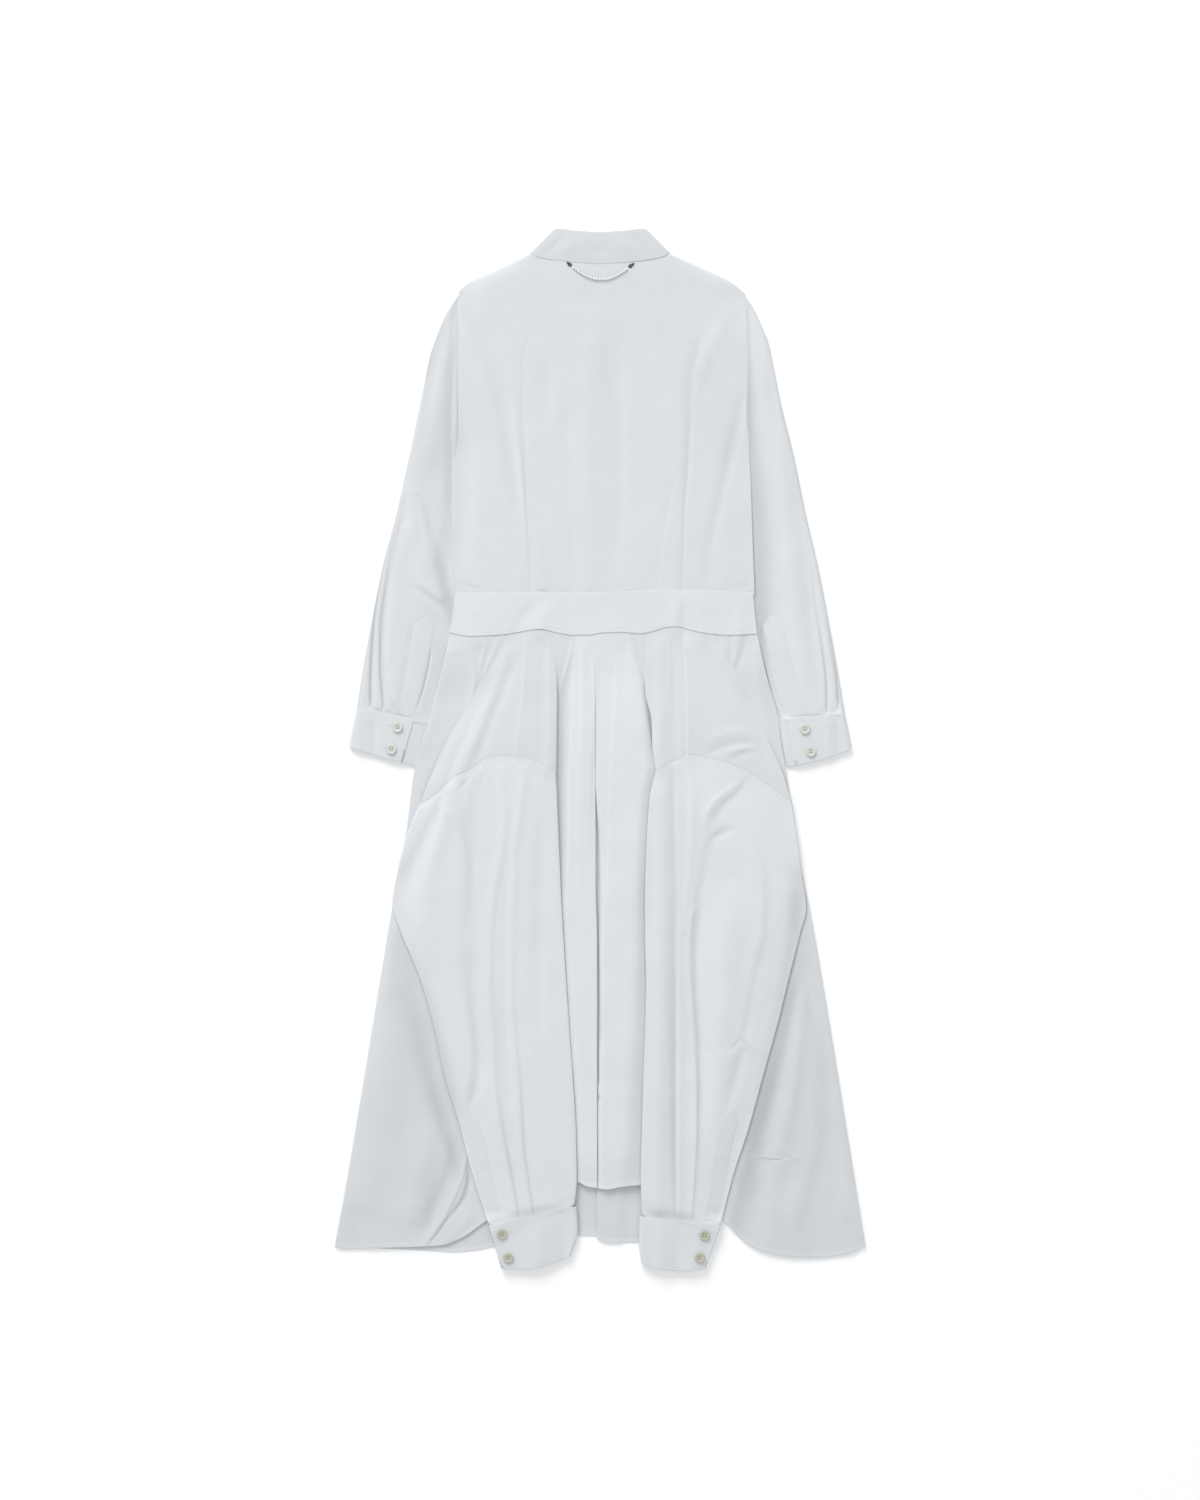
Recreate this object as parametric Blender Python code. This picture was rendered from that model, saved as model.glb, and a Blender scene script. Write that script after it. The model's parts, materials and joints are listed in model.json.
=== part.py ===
# A long-sleeved shirt dress laid flat on its front.
# A fitted shirt body ends in a free-hanging waistband over a wide skirt.
# A second pair of shirt sleeves hangs down over the back of the skirt.
# +X is to the right as seen from above, +Y towards the collar and +Z up from the surface.
# All the sizes below are in millimetres; the meshes are written in metres.

import math

import bmesh
import bpy
from mathutils import Matrix, Vector
from mathutils.bvhtree import BVHTree

MM = 0.001

# ---------------------------------------------------------------- driving sizes

WALL = 1.2              # cloth, with its turnings
CUFF_WALL = 1.5         # two cloths and an interlining
SEAM_REST = 1.5         # a back panel's edge lies on the front panel's edge
LAP = 1.5               # one front edge lies on the other
TUBE_HEIGHT = 6.2       # a sleeve pressed flat
CUFF_HEIGHT = 6.8
BODICE_CROWN = 5.0      # underside of the shirt back, away from its seams
BAND_CROWN = 6.2
WAIST_Y = 197.4
BUTTON_DIAMETER = 12.8  # a 20 ligne shirt button
BUTTON_THICKNESS = 2.6
BUTTON_HOLE = 1.7
BUTTON_HOLE_PITCH = 2.6
PEARL_RADIUS = 1.85
CHAIN_STEP = 5.4         # between points of the chain's path
RING_RADIUS = 2.1
RING_WIRE = 0.45

# ---------------------------------------------------------------- outlines
# Edge tables: (y, x) down the side of a panel, or (x, y) along its top or bottom.

BODICE_LEFT = (
    (573.6, -176.5), (545, -178), (521, -177), (494, -177.5), (456, -180),
    (412, -184), (337, -187), (262, -186), (WAIST_Y, -180.5),
)
BODICE_RIGHT = (
    (571.2, 181), (545, 182.8), (512, 184.4), (472, 186), (412, 188.5),
    (312, 190), (250, 192), (WAIST_Y, 193.1),
)
SHOULDER_AND_NECK = (
    (-176.5, 573.6), (-163.5, 584.6), (-139, 597), (-114.5, 607.5), (-86.6, 619.8), (-60, 631),
    (-40, 626), (0, 623), (40, 626), (60, 631), (87.5, 619.6), (128, 602.5), (164, 585), (181, 571.2),
)
FRONT_NECK = ((-60, 631), (-52, 610), (-38, 592), (-14, 580), (14, 580), (38, 592), (52, 610), (60, 631))
BODICE_WAIST = ((-180.5, 197.4), (-87, 198.2), (-11, 197.4), (83, 201), (193.1, 197.4))

BAND_LEFT = ((196.8, -179.8), (147, -187.4))
BAND_RIGHT = ((196.8, 190.8), (146, 196))
BAND_LOW = (
    (-187.4, 147), (-162, 142.5), (-142, 143.3), (-115, 145.4), (-92, 149.6), (-76, 151.6),
    (-56, 147.6), (-34, 144), (-17, 144), (5, 147), (27, 147.6), (50, 146), (66, 148.8),
    (83, 153.8), (97, 154.6), (111, 151), (128, 147), (159, 144), (196, 145.5),
)

SKIRT_LEFT = (
    (196.4, -180), (150, -187), (140, -188.6), (98, -198), (65, -206.6), (33, -215.4), (-21, -231),
    (-104, -242.5), (-199, -260), (-431, -298.4), (-534, -315.6), (-621.2, -331.5),
)
SKIRT_RIGHT = (
    (196.4, 190.6), (146, 196.4), (140, 197.6), (98, 207), (68, 214.6), (38, 222.6), (17, 225),
    (-21, 231.4), (-101, 244.2), (-144, 251), (-195, 261.2), (-620.6, 331.5),
)
BACK_HEM = (
    (-331.5, -621.2), (-318, -623.4), (-249, -621.8), (-200, -619.4), (-174, -610.4), (-145, -590.7),
    (-87.5, -556.2), (-27, -540.2), (-17.6, -544.8), (-3, -547.4), (8.8, -549.1), (25, -546.2),
    (50, -543.8), (100, -556.2), (153.6, -587.5), (170, -603.8), (186.2, -618.5), (209, -628.2),
    (235, -633.2), (271, -634.9), (310, -630), (331.5, -620.6),
)
FRONT_HEM_LEFT = (
    (-331.5, -621.2), (-250, -625), (-213, -626.5), (-184, -628.5), (-154, -626), (-135, -622),
    (-87, -612.5), (-29, -608), (24, -608.5),
)
FRONT_HEM_RIGHT = (
    (-4, -611.5), (8.8, -616.6), (48, -616.6), (80, -612), (120, -598), (150, -582), (170, -599.5),
    (186, -614), (209, -624.2), (235, -629.2), (271, -631), (310, -626.4), (331.5, -617.5),
)
PLEAT_EDGE = ((196, 21.5), (55, 17.5), (6, 13.8), (-41, 12), (-100, 10), (-187, 6.8), (-312, 1), (-640, 0))

HUNG_LEFT_OUTER = ((196.2, -100), (145, -115), (64, -160.8), (15, -189.8), (-34, -212), (-67, -224.6))
HUNG_LEFT_INNER = ((196.2, -58), (146, -56.9), (64, -53.8), (-28, -54.6))
HUNG_RIGHT_INNER = ((196.2, 58), (145, 56.7), (73, 57), (37, 64.5), (2, 65.6), (-27, 70))
HUNG_RIGHT_OUTER = ((196.2, 126), (145, 141.5), (93, 172.8), (46, 195), (2, 215), (-30, 228.6), (-65, 238.6))
CAP_LEFT = (
    (-224.6, -67), (-207.5, -56), (-183, -33.5), (-160.8, -22.5), (-142.9, -10.2), (-125, -7.2),
    (-100.5, -7.2), (-80.4, -13.5), (-54.6, -28),
)
CAP_RIGHT = (
    (70, -27), (75.6, -22.3), (85.8, -15.6), (97, -11), (109, -5), (121, -6.6), (150.5, -13.3),
    (177, -22.3), (208.5, -42.4), (238.6, -64.5),
)

# Sleeve sections, from the armhole down: outer edge x, y; inner edge x, y; share of the armhole's curve.
SLEEVE_LEFT = (
    (-178.1, 572.4, -186.1, 400, 1.0), (-186.2, 559.2, -187.3, 372, 0.5), (-196.2, 539.6, -188.1, 350, 0.2),
    (-206, 513.5, -188.5, 330, 0), (-212.5, 494, -188.7, 312, 0), (-220.9, 451.6, -188.6, 290, 0),
    (-238.1, 370, -188, 262, 0), (-255.2, 292.5, -186.6, 228, 0), (-270, 237.5, -186, 200, 0),
    (-282, 180, -189.6, 165, 0), (-288.4, 145.9, -190.2, 140, 0), (-297, 98, -199.7, 98, 0),
    (-303.9, 54.5, -216.9, 33.8, 0),
)
SLEEVE_RIGHT = (
    (182.6, 570, 190.4, 400, 1.0), (191.7, 556, 190.9, 372, 0.5), (201.6, 533.1, 191.2, 350, 0.2),
    (209.7, 511.9, 191.5, 330, 0), (215.5, 485, 191.8, 312, 0), (226.7, 430, 192.5, 290, 0),
    (241, 373, 193.4, 262, 0), (256, 300, 194.5, 228, 0), (270.6, 237.5, 195.4, 200, 0),
    (279.9, 191.6, 196.8, 172, 0), (289, 142.1, 199.8, 140, 0), (298.2, 90.8, 209.2, 98, 0),
    (305.5, 47.1, 224.9, 38.9, 0),
)
HUNG_SLEEVE_LEFT = (
    (-225.2, -68, -54.8, -28.9, 1.0), (-234, -90, -53.6, -55, 0.7), (-244, -115, -52.5, -85, 0.4),
    (-252.5, -150, -50.5, -130, 0.15), (-259.5, -196, -47.8, -190, 0), (-249, -228, -45, -238, 0),
    (-226.4, -283.5, -41.6, -293, 0), (-210, -338.8, -38.5, -340, 0), (-193.8, -411, -34, -405, 0),
    (-176.2, -468, -30, -470, 0), (-160, -530, -28.8, -535, 0), (-139.5, -593.6, -31.6, -569.8, 0),
)
HUNG_SLEEVE_RIGHT = (
    (239.2, -65.6, 69.6, -28, 1.0), (243.5, -92, 62.5, -58, 0.7), (248, -120, 59.5, -90, 0.4),
    (252, -150, 57.5, -130, 0.15), (258.2, -198.5, 56, -190, 0), (251, -228, 56.3, -235, 0),
    (237, -283, 57.3, -293, 0), (223, -340, 56.3, -345, 0), (204, -408, 54, -405, 0),
    (186, -473, 52.4, -470, 0), (167, -531, 50.8, -535, 0), (151.1, -593.4, 52.3, -582.1, 0),
)
# Cuff sections, from the sleeve down: outer edge x, y; inner edge x, y; bow of the edge line.
CUFF_LEFT = ((-304, 54, -217, 33.3, 0), (-309.4, 29, -225, 6, 0), (-314, 4.6, -232.5, -21, -1.5))
CUFF_RIGHT = ((305.6, 46.6, 224.9, 38.4, 0), (310.6, 24, 227.6, 10, 0), (314.7, 1.9, 233.1, -21, -3))
HUNG_CUFF_LEFT = ((-139.4, -594.1, -29, -570.2, 0), (-131.5, -620, -27.2, -602, -2), (-124, -647.8, -36, -632, -6.6))
HUNG_CUFF_RIGHT = ((151, -593.9, 49.5, -582.6, 0), (142, -621, 48.8, -618, -2), (132, -647.8, 51.5, -642.5, -5.4))

# Placket edges, point to cuff: left x, y; right x, y.
PLACKET_LEFT = ((-231.5, 156.9, -206.5, 153.5), (-236, 128, -212.8, 127.5), (-245, 86, -222.6, 82), (-253.6, 45, -234.6, 40.6))
PLACKET_RIGHT = ((204.5, 155, 227.2, 161.2), (210.5, 128, 234.2, 132), (224.5, 82, 246.4, 84), (237.4, 41.6, 260.6, 44))
HUNG_PLACKET_LEFT = ((-171, -467, -152.8, -460.5), (-163, -500, -143.6, -495), (-151, -542, -134, -540), (-136.6, -589, -122.4, -586))
HUNG_PLACKET_RIGHT = ((153.5, -460.5, 172.4, -462), (144, -496, 164.6, -494), (139, -545, 154.6, -546), (128.6, -587, 145.2, -589))
# Point of each placket, x, y.
PLACKET_POINTS = {"left": (-215, 165.6), "right": (213.2, 168.6), "hung_left": (-163.6, -452.6), "hung_right": (167.2, -448)}

# Button centres on the cuffs, x, y.
BUTTONS = {
    "button_left_upper": (-253, 28.5),
    "button_left_lower": (-260.9, 1),
    "button_right_upper": (256.2, 26.2),
    "button_right_lower": (263.4, -2),
    "hung_button_left_upper": (-122.6, -604.6),
    "hung_button_left_lower": (-114.6, -634.4),
    "hung_button_right_upper": (130.6, -606.1),
    "hung_button_right_lower": (124.5, -634.1),
}

# Collar sections round the neck, from the front edge, round the side and over the back:
# fold line x, y, z; free edge x, y, z. The right side follows the left, mirrored.
COLLAR_FALL = (
    (-4, 606, 0.6, -48, 541, 0.6), (-26, 615, 0.6, -60, 560, 0.6), (-38, 629, 0.6, -72, 585, 0.6),
    (-52, 645, 0.6, -82.4, 611, 0.6), (-56.2, 649.4, 0.8, -86, 621.4, 0.8), (-57, 650.1, 4, -87.2, 622.6, 4.3),
    (-56.2, 650.1, 6.9, -86, 621.6, 7.6), (-51, 650, 7.2, -80, 616.8, 8.5), (-27.5, 647.5, 7.2, -45, 610.9, 8.5),
    (0, 645.8, 7.2, 0, 607.9, 8.5),
)
COLLAR_STAND = (
    (-1.2, 605, 2.1, -1.2, 581, 2.1), (-10, 606, 2.1, -14, 581.2, 2.1), (-26, 613.4, 2.1, -37, 593.2, 2.1),
    (-38, 626.6, 2.1, -51, 610.8, 2.1), (-50, 644, 2.2, -58.8, 633.6, 2.1), (-52.4, 647.4, 3.8, -60.8, 636.4, 3.8),
    (-50, 647.8, 5.2, -57.6, 634, 5.3), (-27, 645.8, 5.3, -38, 629, 5.1), (0, 643.6, 5.3, 0, 624, 4.9),
)
# Hanging pearl chain, x, y, from ring to ring.
CHAIN = (
    (-34.2, 603.6), (-28, 598.6), (-21, 594.2), (-14, 590.9), (-7, 588.7), (0, 587.8), (7, 588), (14, 589.9),
    (21, 593), (28, 597.1), (34.2, 602),
)
RINGS = {"chain_ring_left": (-37.6, 606.4), "chain_ring_right": (38, 604.8)}

# Folds: start x, y; end x, y; half width; height.
BODICE_FOLDS = (
    (-98, 484, -88, 203, 9, -0.9),
    (108, 430, 106, 203, 9, -0.9),
    (-80, 330, -78, 225, 16, 0.8),
    (96, 340, 92, 225, 16, 0.8),
    (-169, 569, -105, 335, 14, -0.8),
    (164, 545, 118, 412, 14, 0.9),
)
SLEEVE_FOLDS = (
    (-287, 55, -282, 145, 6, 1.5),
    (-282, 145, -239, 318, 8, 1.8),
    (-272, 52, -272, 128, 5, -0.9),
    (-232, 330, -196, 206, 12, 1.2),
    (286, 50, 277, 150, 6, 1.5),
    (277, 150, 262, 238, 8, 1.4),
    (262, 260, 248, 150, 14, -0.8),
)
HUNG_FOLDS = (
    (-116, -94, -132, -293, 8, 2.4),
    (-132, -293, -102, -583, 8, 2.4),
    (-99, -20, -107, -187, 8, 2.0),
    (-107, -187, -84, -581, 8, 1.6),
    (-172, -50, -155, -358, 18, -1.6),
    (-205, -90, -205, -230, 20, 1.4),
    (98, -162, 98, -581, 8, 2.2),
    (131, -172, 114, -300, 9, 2.2),
    (118, -300, 118, -583, 9, 2.2),
    (185, -40, 131, -145, 12, -1.4),
    (200, -100, 185, -330, 24, 1.6),
)
SKIRT_FOLDS = (
    (-300, -560, -262, -330, 40, 1.4),
    (-214, -606, -196, -545, 11, 2.6),
    (290, -560, 262, -330, 34, 1.4),
    (246, -300, 226, -500, 12, 2.4),
    (-40, 100, -30, -500, 14, 1.2),
)
BAND_FOLDS = (
    (-76, 190, -74, 140, 16, 1.6),
    (96, 195, 96, 140, 14, 2.0),
    (5, 160, 5, 140, 24, 0.8),
    (-40, 185, -40, 140, 10, -0.5),
    (150, 170, 150, 140, 24, 0.7),
    (-150, 170, -150, 140, 24, 0.7),
)

# ---------------------------------------------------------------- small sums


def smooth(t):
    t = min(max(t, 0), 1)
    return t * t * (3 - 2 * t)


def rounded(t):
    """Rises like a quarter circle, from 0 to 1."""
    t = min(max(t, 0), 1)
    return math.sqrt(1 - (1 - t) * (1 - t))


def lerp(a, b, t):
    return a + (b - a) * t


def at(table, key):
    """The value beside a key in a two-column table, straight between its rows."""
    rows = sorted(table)
    if key <= rows[0][0]:
        return rows[0][1]
    for (k0, v0), (k1, v1) in zip(rows, rows[1:]):
        if key <= k1:
            return lerp(v0, v1, (key - k0) / (k1 - k0))
    return rows[-1][1]


def section_at(table, t):
    """A section part way down a table of sections."""
    place = t * (len(table) - 1)
    i = min(int(place), len(table) - 2)
    return [lerp(a, b, place - i) for a, b in zip(table[i], table[i + 1])]


def fold_height(x, y, folds):
    total = 0
    for x0, y0, x1, y1, half_width, height in folds:
        dx, dy = x1 - x0, y1 - y0
        t = ((x - x0) * dx + (y - y0) * dy) / (dx * dx + dy * dy)
        t = min(max(t, 0), 1)
        away = math.hypot(x - x0 - t * dx, y - y0 - t * dy)
        total += height * math.exp(-((away / half_width) ** 2))
    return total


def spread(count, edge=0.65):
    """Shares from 0 to 1, closer together at both ends."""
    shares = []
    for i in range(count + 1):
        t = i / count
        shares.append((1 - edge) * t + edge * (0.5 - 0.5 * math.cos(math.pi * t)))
    return shares


def shares_of(edge):
    """Shares across for a column at each corner of an edge."""
    return [(x - edge[0][0]) / (edge[-1][0] - edge[0][0]) for x, _ in edge]


# ---------------------------------------------------------------- how high the cloth lies


def leaf_lift(x, y):
    """The fronts rise over the collar leaves under them."""
    return 1.5 * (1 - smooth((abs(x) - 93) / 55)) * smooth((y - 485) / 34)


def bodice_under(x, y):
    seam = SEAM_REST + leaf_lift(x, y)
    side = min(x - at(BODICE_LEFT, y), at(BODICE_RIGHT, y) - x)
    armhole = 0.88 * smooth((y - 385) / 30) * smooth((562 - y) / 26)
    side_share = armhole + (1 - armhole) * rounded(side / 16)
    neck = 0.55 * smooth((60 - abs(x)) / 16)
    top_share = neck + (1 - neck) * rounded((at(SHOULDER_AND_NECK, x) - y) / 18)
    crown = BODICE_CROWN + fold_height(x, y, BODICE_FOLDS)
    return seam + (crown - seam) * side_share * top_share


def band_under(x, y):
    side = min(x - at(BAND_LEFT, y), at(BAND_RIGHT, y) - x)
    loose = smooth((196 - y) / 40)
    crown = BAND_CROWN + fold_height(x, y, BAND_FOLDS) * loose
    return 3.1 + (crown - 3.1) * rounded(side / 22)


def skirt_loft(x, y):
    side = min(x - at(SKIRT_LEFT, y), at(SKIRT_RIGHT, y) - x)
    return (0.4 + fold_height(x, y, SKIRT_FOLDS)) * rounded(side / 22)


def skirt_left_under(x, y):
    """The left back lies over the turned-under edge of the right back."""
    over = 1.5 * smooth((x + 30) / 10) + 1.7 * smooth((x + 12) / 6)
    return SEAM_REST + skirt_loft(x, y) * (1 - 0.5 * smooth((x + 20) / 8)) + over


def skirt_right_under(x, y):
    """Low under the left back, then over the lapped fronts, then up at the pleat's edge."""
    over_lap = LAP * smooth((x + 10) / 4) * smooth((40 - x) / 12)
    pleat = 1.3 * smooth((x - at(PLEAT_EDGE, y)) / 4) * smooth((54 - x) / 14)
    open_share = smooth((x + 6) / 8)
    return SEAM_REST + over_lap + (skirt_loft(x, y) + pleat) * open_share


def hung_rest(x, y):
    """Underside of what hangs over the skirt back, which steps down past the back's hem."""
    on_back = skirt_loft(x, y) + SEAM_REST + WALL + 0.8
    if 34 < x < 58:
        on_back += LAP * smooth((40 - x) / 12)
    past_hem = smooth((at(BACK_HEM, x) - 16 - y) / 26)
    return lerp(on_back, 1.75, past_hem)


def hung_left_under(x, y):
    side = min(x - at(HUNG_LEFT_OUTER, y), at(HUNG_LEFT_INNER, y) - x)
    return hung_rest(x, y) + 4.7 * smooth((150 - y) / 150) * rounded(side / 14)


def hung_right_under(x, y):
    side = min(x - at(HUNG_RIGHT_INNER, y), at(HUNG_RIGHT_OUTER, y) - x)
    return hung_rest(x, y) + 4.7 * smooth((150 - y) / 150) * rounded(side / 14)


def front_right_under(x, y):
    return leaf_lift(x, y) + LAP * smooth((22 - x) / 6)


def skirt_front_right_under(x, y):
    return LAP * smooth((31 - x) / 6)


# ---------------------------------------------------------------- building


def clear_scene():
    for item in list(bpy.data.objects):
        bpy.data.objects.remove(item, do_unlink=True)


def material(name, colour, roughness, metallic=0.0):
    made = bpy.data.materials.new(name)
    made.use_nodes = True
    shader = made.node_tree.nodes["Principled BSDF"]
    shader.inputs["Base Color"].default_value = (*colour, 1)
    shader.inputs["Roughness"].default_value = roughness
    shader.inputs["Metallic"].default_value = metallic
    return made


def add_object(name, points, faces, look):
    mesh = bpy.data.meshes.new(name)
    mesh.from_pydata([tuple(MM * c for c in p) for p in points], [], faces)
    shape = bmesh.new()
    shape.from_mesh(mesh)
    bmesh.ops.recalc_face_normals(shape, faces=shape.faces)
    shape.to_mesh(mesh)
    shape.free()
    mesh.materials.append(look)
    made = bpy.data.objects.new(name, mesh)
    bpy.context.collection.objects.link(made)
    return made


def point_normals(rows, ring):
    """The direction square to the cloth at each point of a grid."""
    last, end = len(rows) - 1, len(rows[0]) - 1
    normals = []
    for i, row in enumerate(rows):
        line = []
        for j in range(len(row)):
            if ring:
                across = row[(j + 1) % len(row)] - row[j - 1]
            else:
                across = row[min(j + 1, end)] - row[max(j - 1, 0)]
            down = rows[min(i + 1, last)][j] - rows[max(i - 1, 0)][j]
            line.append(across.cross(down).normalized())
        normals.append(line)
    return normals


def cloth(name, rows, look, wall=WALL, ring=False, side=1):
    """A sheet or a tube of cloth: one face on the rows' points and one a wall away."""
    normals = point_normals(rows, ring)
    count, width = len(rows), len(rows[0])
    near = [p for row in rows for p in row]
    far = [p + n * wall * side for row, line in zip(rows, normals) for p, n in zip(row, line)]
    offset = len(near)
    steps = range(width if ring else width - 1)
    faces = []
    for i in range(count - 1):
        for j in steps:
            a, b = i * width + j, i * width + (j + 1) % width
            c, d = b + width, a + width
            faces.append((a, b, c, d))
            faces.append((offset + d, offset + c, offset + b, offset + a))
    for i in (0, count - 1):
        for j in steps:
            a, b = i * width + j, i * width + (j + 1) % width
            faces.append((a, b, offset + b, offset + a))
    if not ring:
        for i in range(count - 1):
            for j in (0, width - 1):
                a, d = i * width + j, (i + 1) * width + j
                faces.append((a, d, offset + d, offset + a))
    return add_object(name, near + far, faces, look)


def panel(name, columns, top, low, under, downs, look):
    """A panel between a top and a bottom edge; columns(share down) gives the x of each column."""
    first, last = columns(0), columns(1)
    rows = []
    for v in downs:
        row = []
        for j, x in enumerate(columns(v)):
            y = lerp(at(top, first[j]), at(low, last[j]), v)
            row.append(Vector((x, y, under(x, y))))
        rows.append(row)
    return cloth(name, rows, look, side=-1)


def between(left, right, top, low, shares):
    """Columns at set shares of the way between two side edges."""
    def columns(v):
        y_left = lerp(at(top, left[0][1]), at(low, left[-1][1]), v)
        y_right = lerp(at(top, right[0][1]), at(low, right[-1][1]), v)
        x_left, x_right = at(left, y_left), at(right, y_right)
        return [lerp(x_left, x_right, u) for u in shares]
    return columns


def sleeve(name, sections, armhole, folds, rest, look, around):
    """A flat-pressed tube that opens along the armhole and at the cuff."""
    first = sections[0]
    rows = []
    for ox, oy, ix, iy, curve in sections:
        row = []
        for k in range(around):
            turn = 2 * math.pi * k / around
            c, s = math.cos(turn), math.sin(turn)
            a = 0.5 - 0.5 * math.copysign(abs(c) ** 0.8, c)
            height = math.copysign(abs(s) ** 0.35, s)
            x, y = lerp(ox, ix, a), lerp(oy, iy, a)
            bow_x, bow_y = armhole(a)
            x += curve * (bow_x - lerp(first[0], first[2], a))
            y += curve * (bow_y - lerp(first[1], first[3], a))
            z = rest(x, y) + TUBE_HEIGHT * 0.5 * (1 + height)
            z += max(height, 0) * fold_height(x, y, folds)
            row.append(Vector((x, y, z)))
        rows.append(row)
    inward = 1 if sections[-1][0] < sections[-1][2] else -1
    return cloth(name, rows, look, ring=True, side=inward)


def armhole_line(table, start, end):
    """A point along the shirt body's side edge, by share of the way down."""
    def line(a):
        y = lerp(start, end, a)
        x = at(table, y)
        return x + (1.6 if x > 0 else -1.6), y
    return line


def cap_line(table, start, end):
    """A point along the gathered seam above a hung sleeve."""
    def line(a):
        x = lerp(start, end, a)
        return x, at(table, x) - 1.3
    return line


def cuff_path(slit, tuck):
    """Round a lapped cuff: share across, millimetres from there, height."""
    top, under = CUFF_HEIGHT, CUFF_HEIGHT - CUFF_WALL - 0.4
    path = [(lerp(slit, 1, t), 0, top) for t in (0, 0.25, 0.5, 0.75)]
    path += [(1, -4, top), (1, -1, top - 1.2), (1, 0, top / 2), (1, -1, 1.2), (1, -4, 0)]
    path += [(t, 0, 0) for t in (0.75, 0.5, 0.25)]
    path += [(0, 4, 0), (0, 1, 1), (0, 0, under / 2), (0, 1, under - 1), (0, 4, under)]
    path += [(lerp(0.06, tuck, t), 0, under) for t in (0.5, 1)]
    return path


def cuff(name, sections, slit, tuck, from_outer, rest, look):
    """A cuff wrapped round the flat wrist, its buttonhole end on top."""
    rows = []
    for ox, oy, ix, iy, bow in sections:
        start, end = (Vector((ox, oy, 0)), Vector((ix, iy, 0)))
        if not from_outer:
            start, end = end, start
        width = (end - start).length
        row = []
        for share, extra, height in cuff_path(slit, tuck):
            t = share + extra / width
            p = start.lerp(end, t)
            p.y += bow * 4 * t * (1 - t)
            p.z = rest(p.x, p.y) + height
            row.append(p)
        rows.append(row)
    inward = 1 if rows[0][0].x < rows[0][3].x else -1
    return cloth(name, rows, look, wall=CUFF_WALL, side=inward)


def tree_of(pieces):
    """What can be found from above among finished pieces."""
    points, faces = [], []
    for piece in pieces:
        offset = len(points)
        points += [v.co / MM for v in piece.data.vertices]
        faces += [tuple(offset + i for i in f.vertices) for f in piece.data.polygons]
    return BVHTree.FromPolygons(points, faces)


def top_of(tree, x, y):
    spot, normal, _, _ = tree.ray_cast(Vector((x, y, 200)), Vector((0, 0, -1)))
    return spot, normal


def placket(name, edges, point, sleeve_piece, look):
    """A pointed strip laid on the sleeve's own surface."""
    tree = tree_of([sleeve_piece])
    rows = []
    for i in range(8):
        lx, ly, rx, ry = section_at(edges, i / 7)
        row = []
        for j in range(5):
            u = j / 4
            x, y = lerp(lx, rx, u), lerp(ly, ry, u)
            peak = (1 - abs(2 * u - 1)) * max(0, 1 - i / 2)
            x += peak * (point[0] - lerp(lx, rx, 0.5))
            y += peak * (point[1] - lerp(ly, ry, 0.5))
            spot, _ = top_of(tree, x, y)
            row.append(spot + Vector((0, 0, 0.55)))
        rows.append(row)
    return cloth(name, rows, look, side=-1)


def collar_part(name, sections, look):
    """A band that goes round the flat neck, mirrored about the middle of the back."""
    mirrored = [(-s[0], s[1], s[2], -s[3], s[4], s[5]) for s in reversed(sections[:-1])]
    rows = []
    for v in (0, 0.5, 1):
        row = []
        for fx, fy, fz, ex, ey, ez in list(sections) + mirrored:
            row.append(Vector((lerp(fx, ex, v), lerp(fy, ey, v), lerp(fz, ez, v))))
        rows.append(row)
    normals = point_normals(rows, False)
    middle = [[p - n * WALL / 2 for p, n in zip(row, line)] for row, line in zip(rows, normals)]
    return cloth(name, middle, look)


def lathe(profile, segments):
    """A closed shape turned about Z from (radius, height) corners, both ends on the axis."""
    points = [Vector((0, 0, profile[0][1]))]
    for radius, height in profile[1:-1]:
        for k in range(segments):
            turn = 2 * math.pi * k / segments
            points.append(Vector((radius * math.cos(turn), radius * math.sin(turn), height)))
    points.append(Vector((0, 0, profile[-1][1])))
    faces = []
    rings = len(profile) - 2
    last = len(points) - 1
    for k in range(segments):
        n = (k + 1) % segments
        faces.append((0, 1 + n, 1 + k))
        for r in range(rings - 1):
            a, b = 1 + r * segments + k, 1 + r * segments + n
            faces.append((a, b, b + segments, a + segments))
        base = 1 + (rings - 1) * segments
        faces.append((base + k, base + n, last))
    return points, faces


def button_blank(look):
    """A dished shirt button with four holes."""
    r, t = BUTTON_DIAMETER / 2, BUTTON_THICKNESS
    profile = (
        (0, 0), (r * 0.62, 0), (r * 0.94, t * 0.36), (r, t * 0.62), (r * 0.9, t * 0.98),
        (r * 0.78, t), (r * 0.62, t * 0.72), (0, t * 0.66),
    )
    points, faces = lathe(profile, 28)
    blank = add_object("button_blank", points, faces, look)
    for i, (sx, sy) in enumerate(((-1, -1), (-1, 1), (1, -1), (1, 1))):
        pin_points, pin_faces = lathe(((0, -2), (BUTTON_HOLE / 2, -2), (BUTTON_HOLE / 2, 6), (0, 6)), 8)
        shift = Vector((sx, sy, 0)) * BUTTON_HOLE_PITCH / 2
        pin = add_object(f"button_pin_{i}", [p + shift for p in pin_points], pin_faces, look)
        cut = blank.modifiers.new("hole", "BOOLEAN")
        cut.operation = "DIFFERENCE"
        cut.solver = "EXACT"
        cut.object = pin
    bpy.context.view_layer.update()
    cut_mesh = bpy.data.meshes.new_from_object(blank.evaluated_get(bpy.context.evaluated_depsgraph_get()))
    for item in list(bpy.data.objects):
        if item.name.startswith("button_"):
            bpy.data.objects.remove(item, do_unlink=True)
    return cut_mesh


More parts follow.
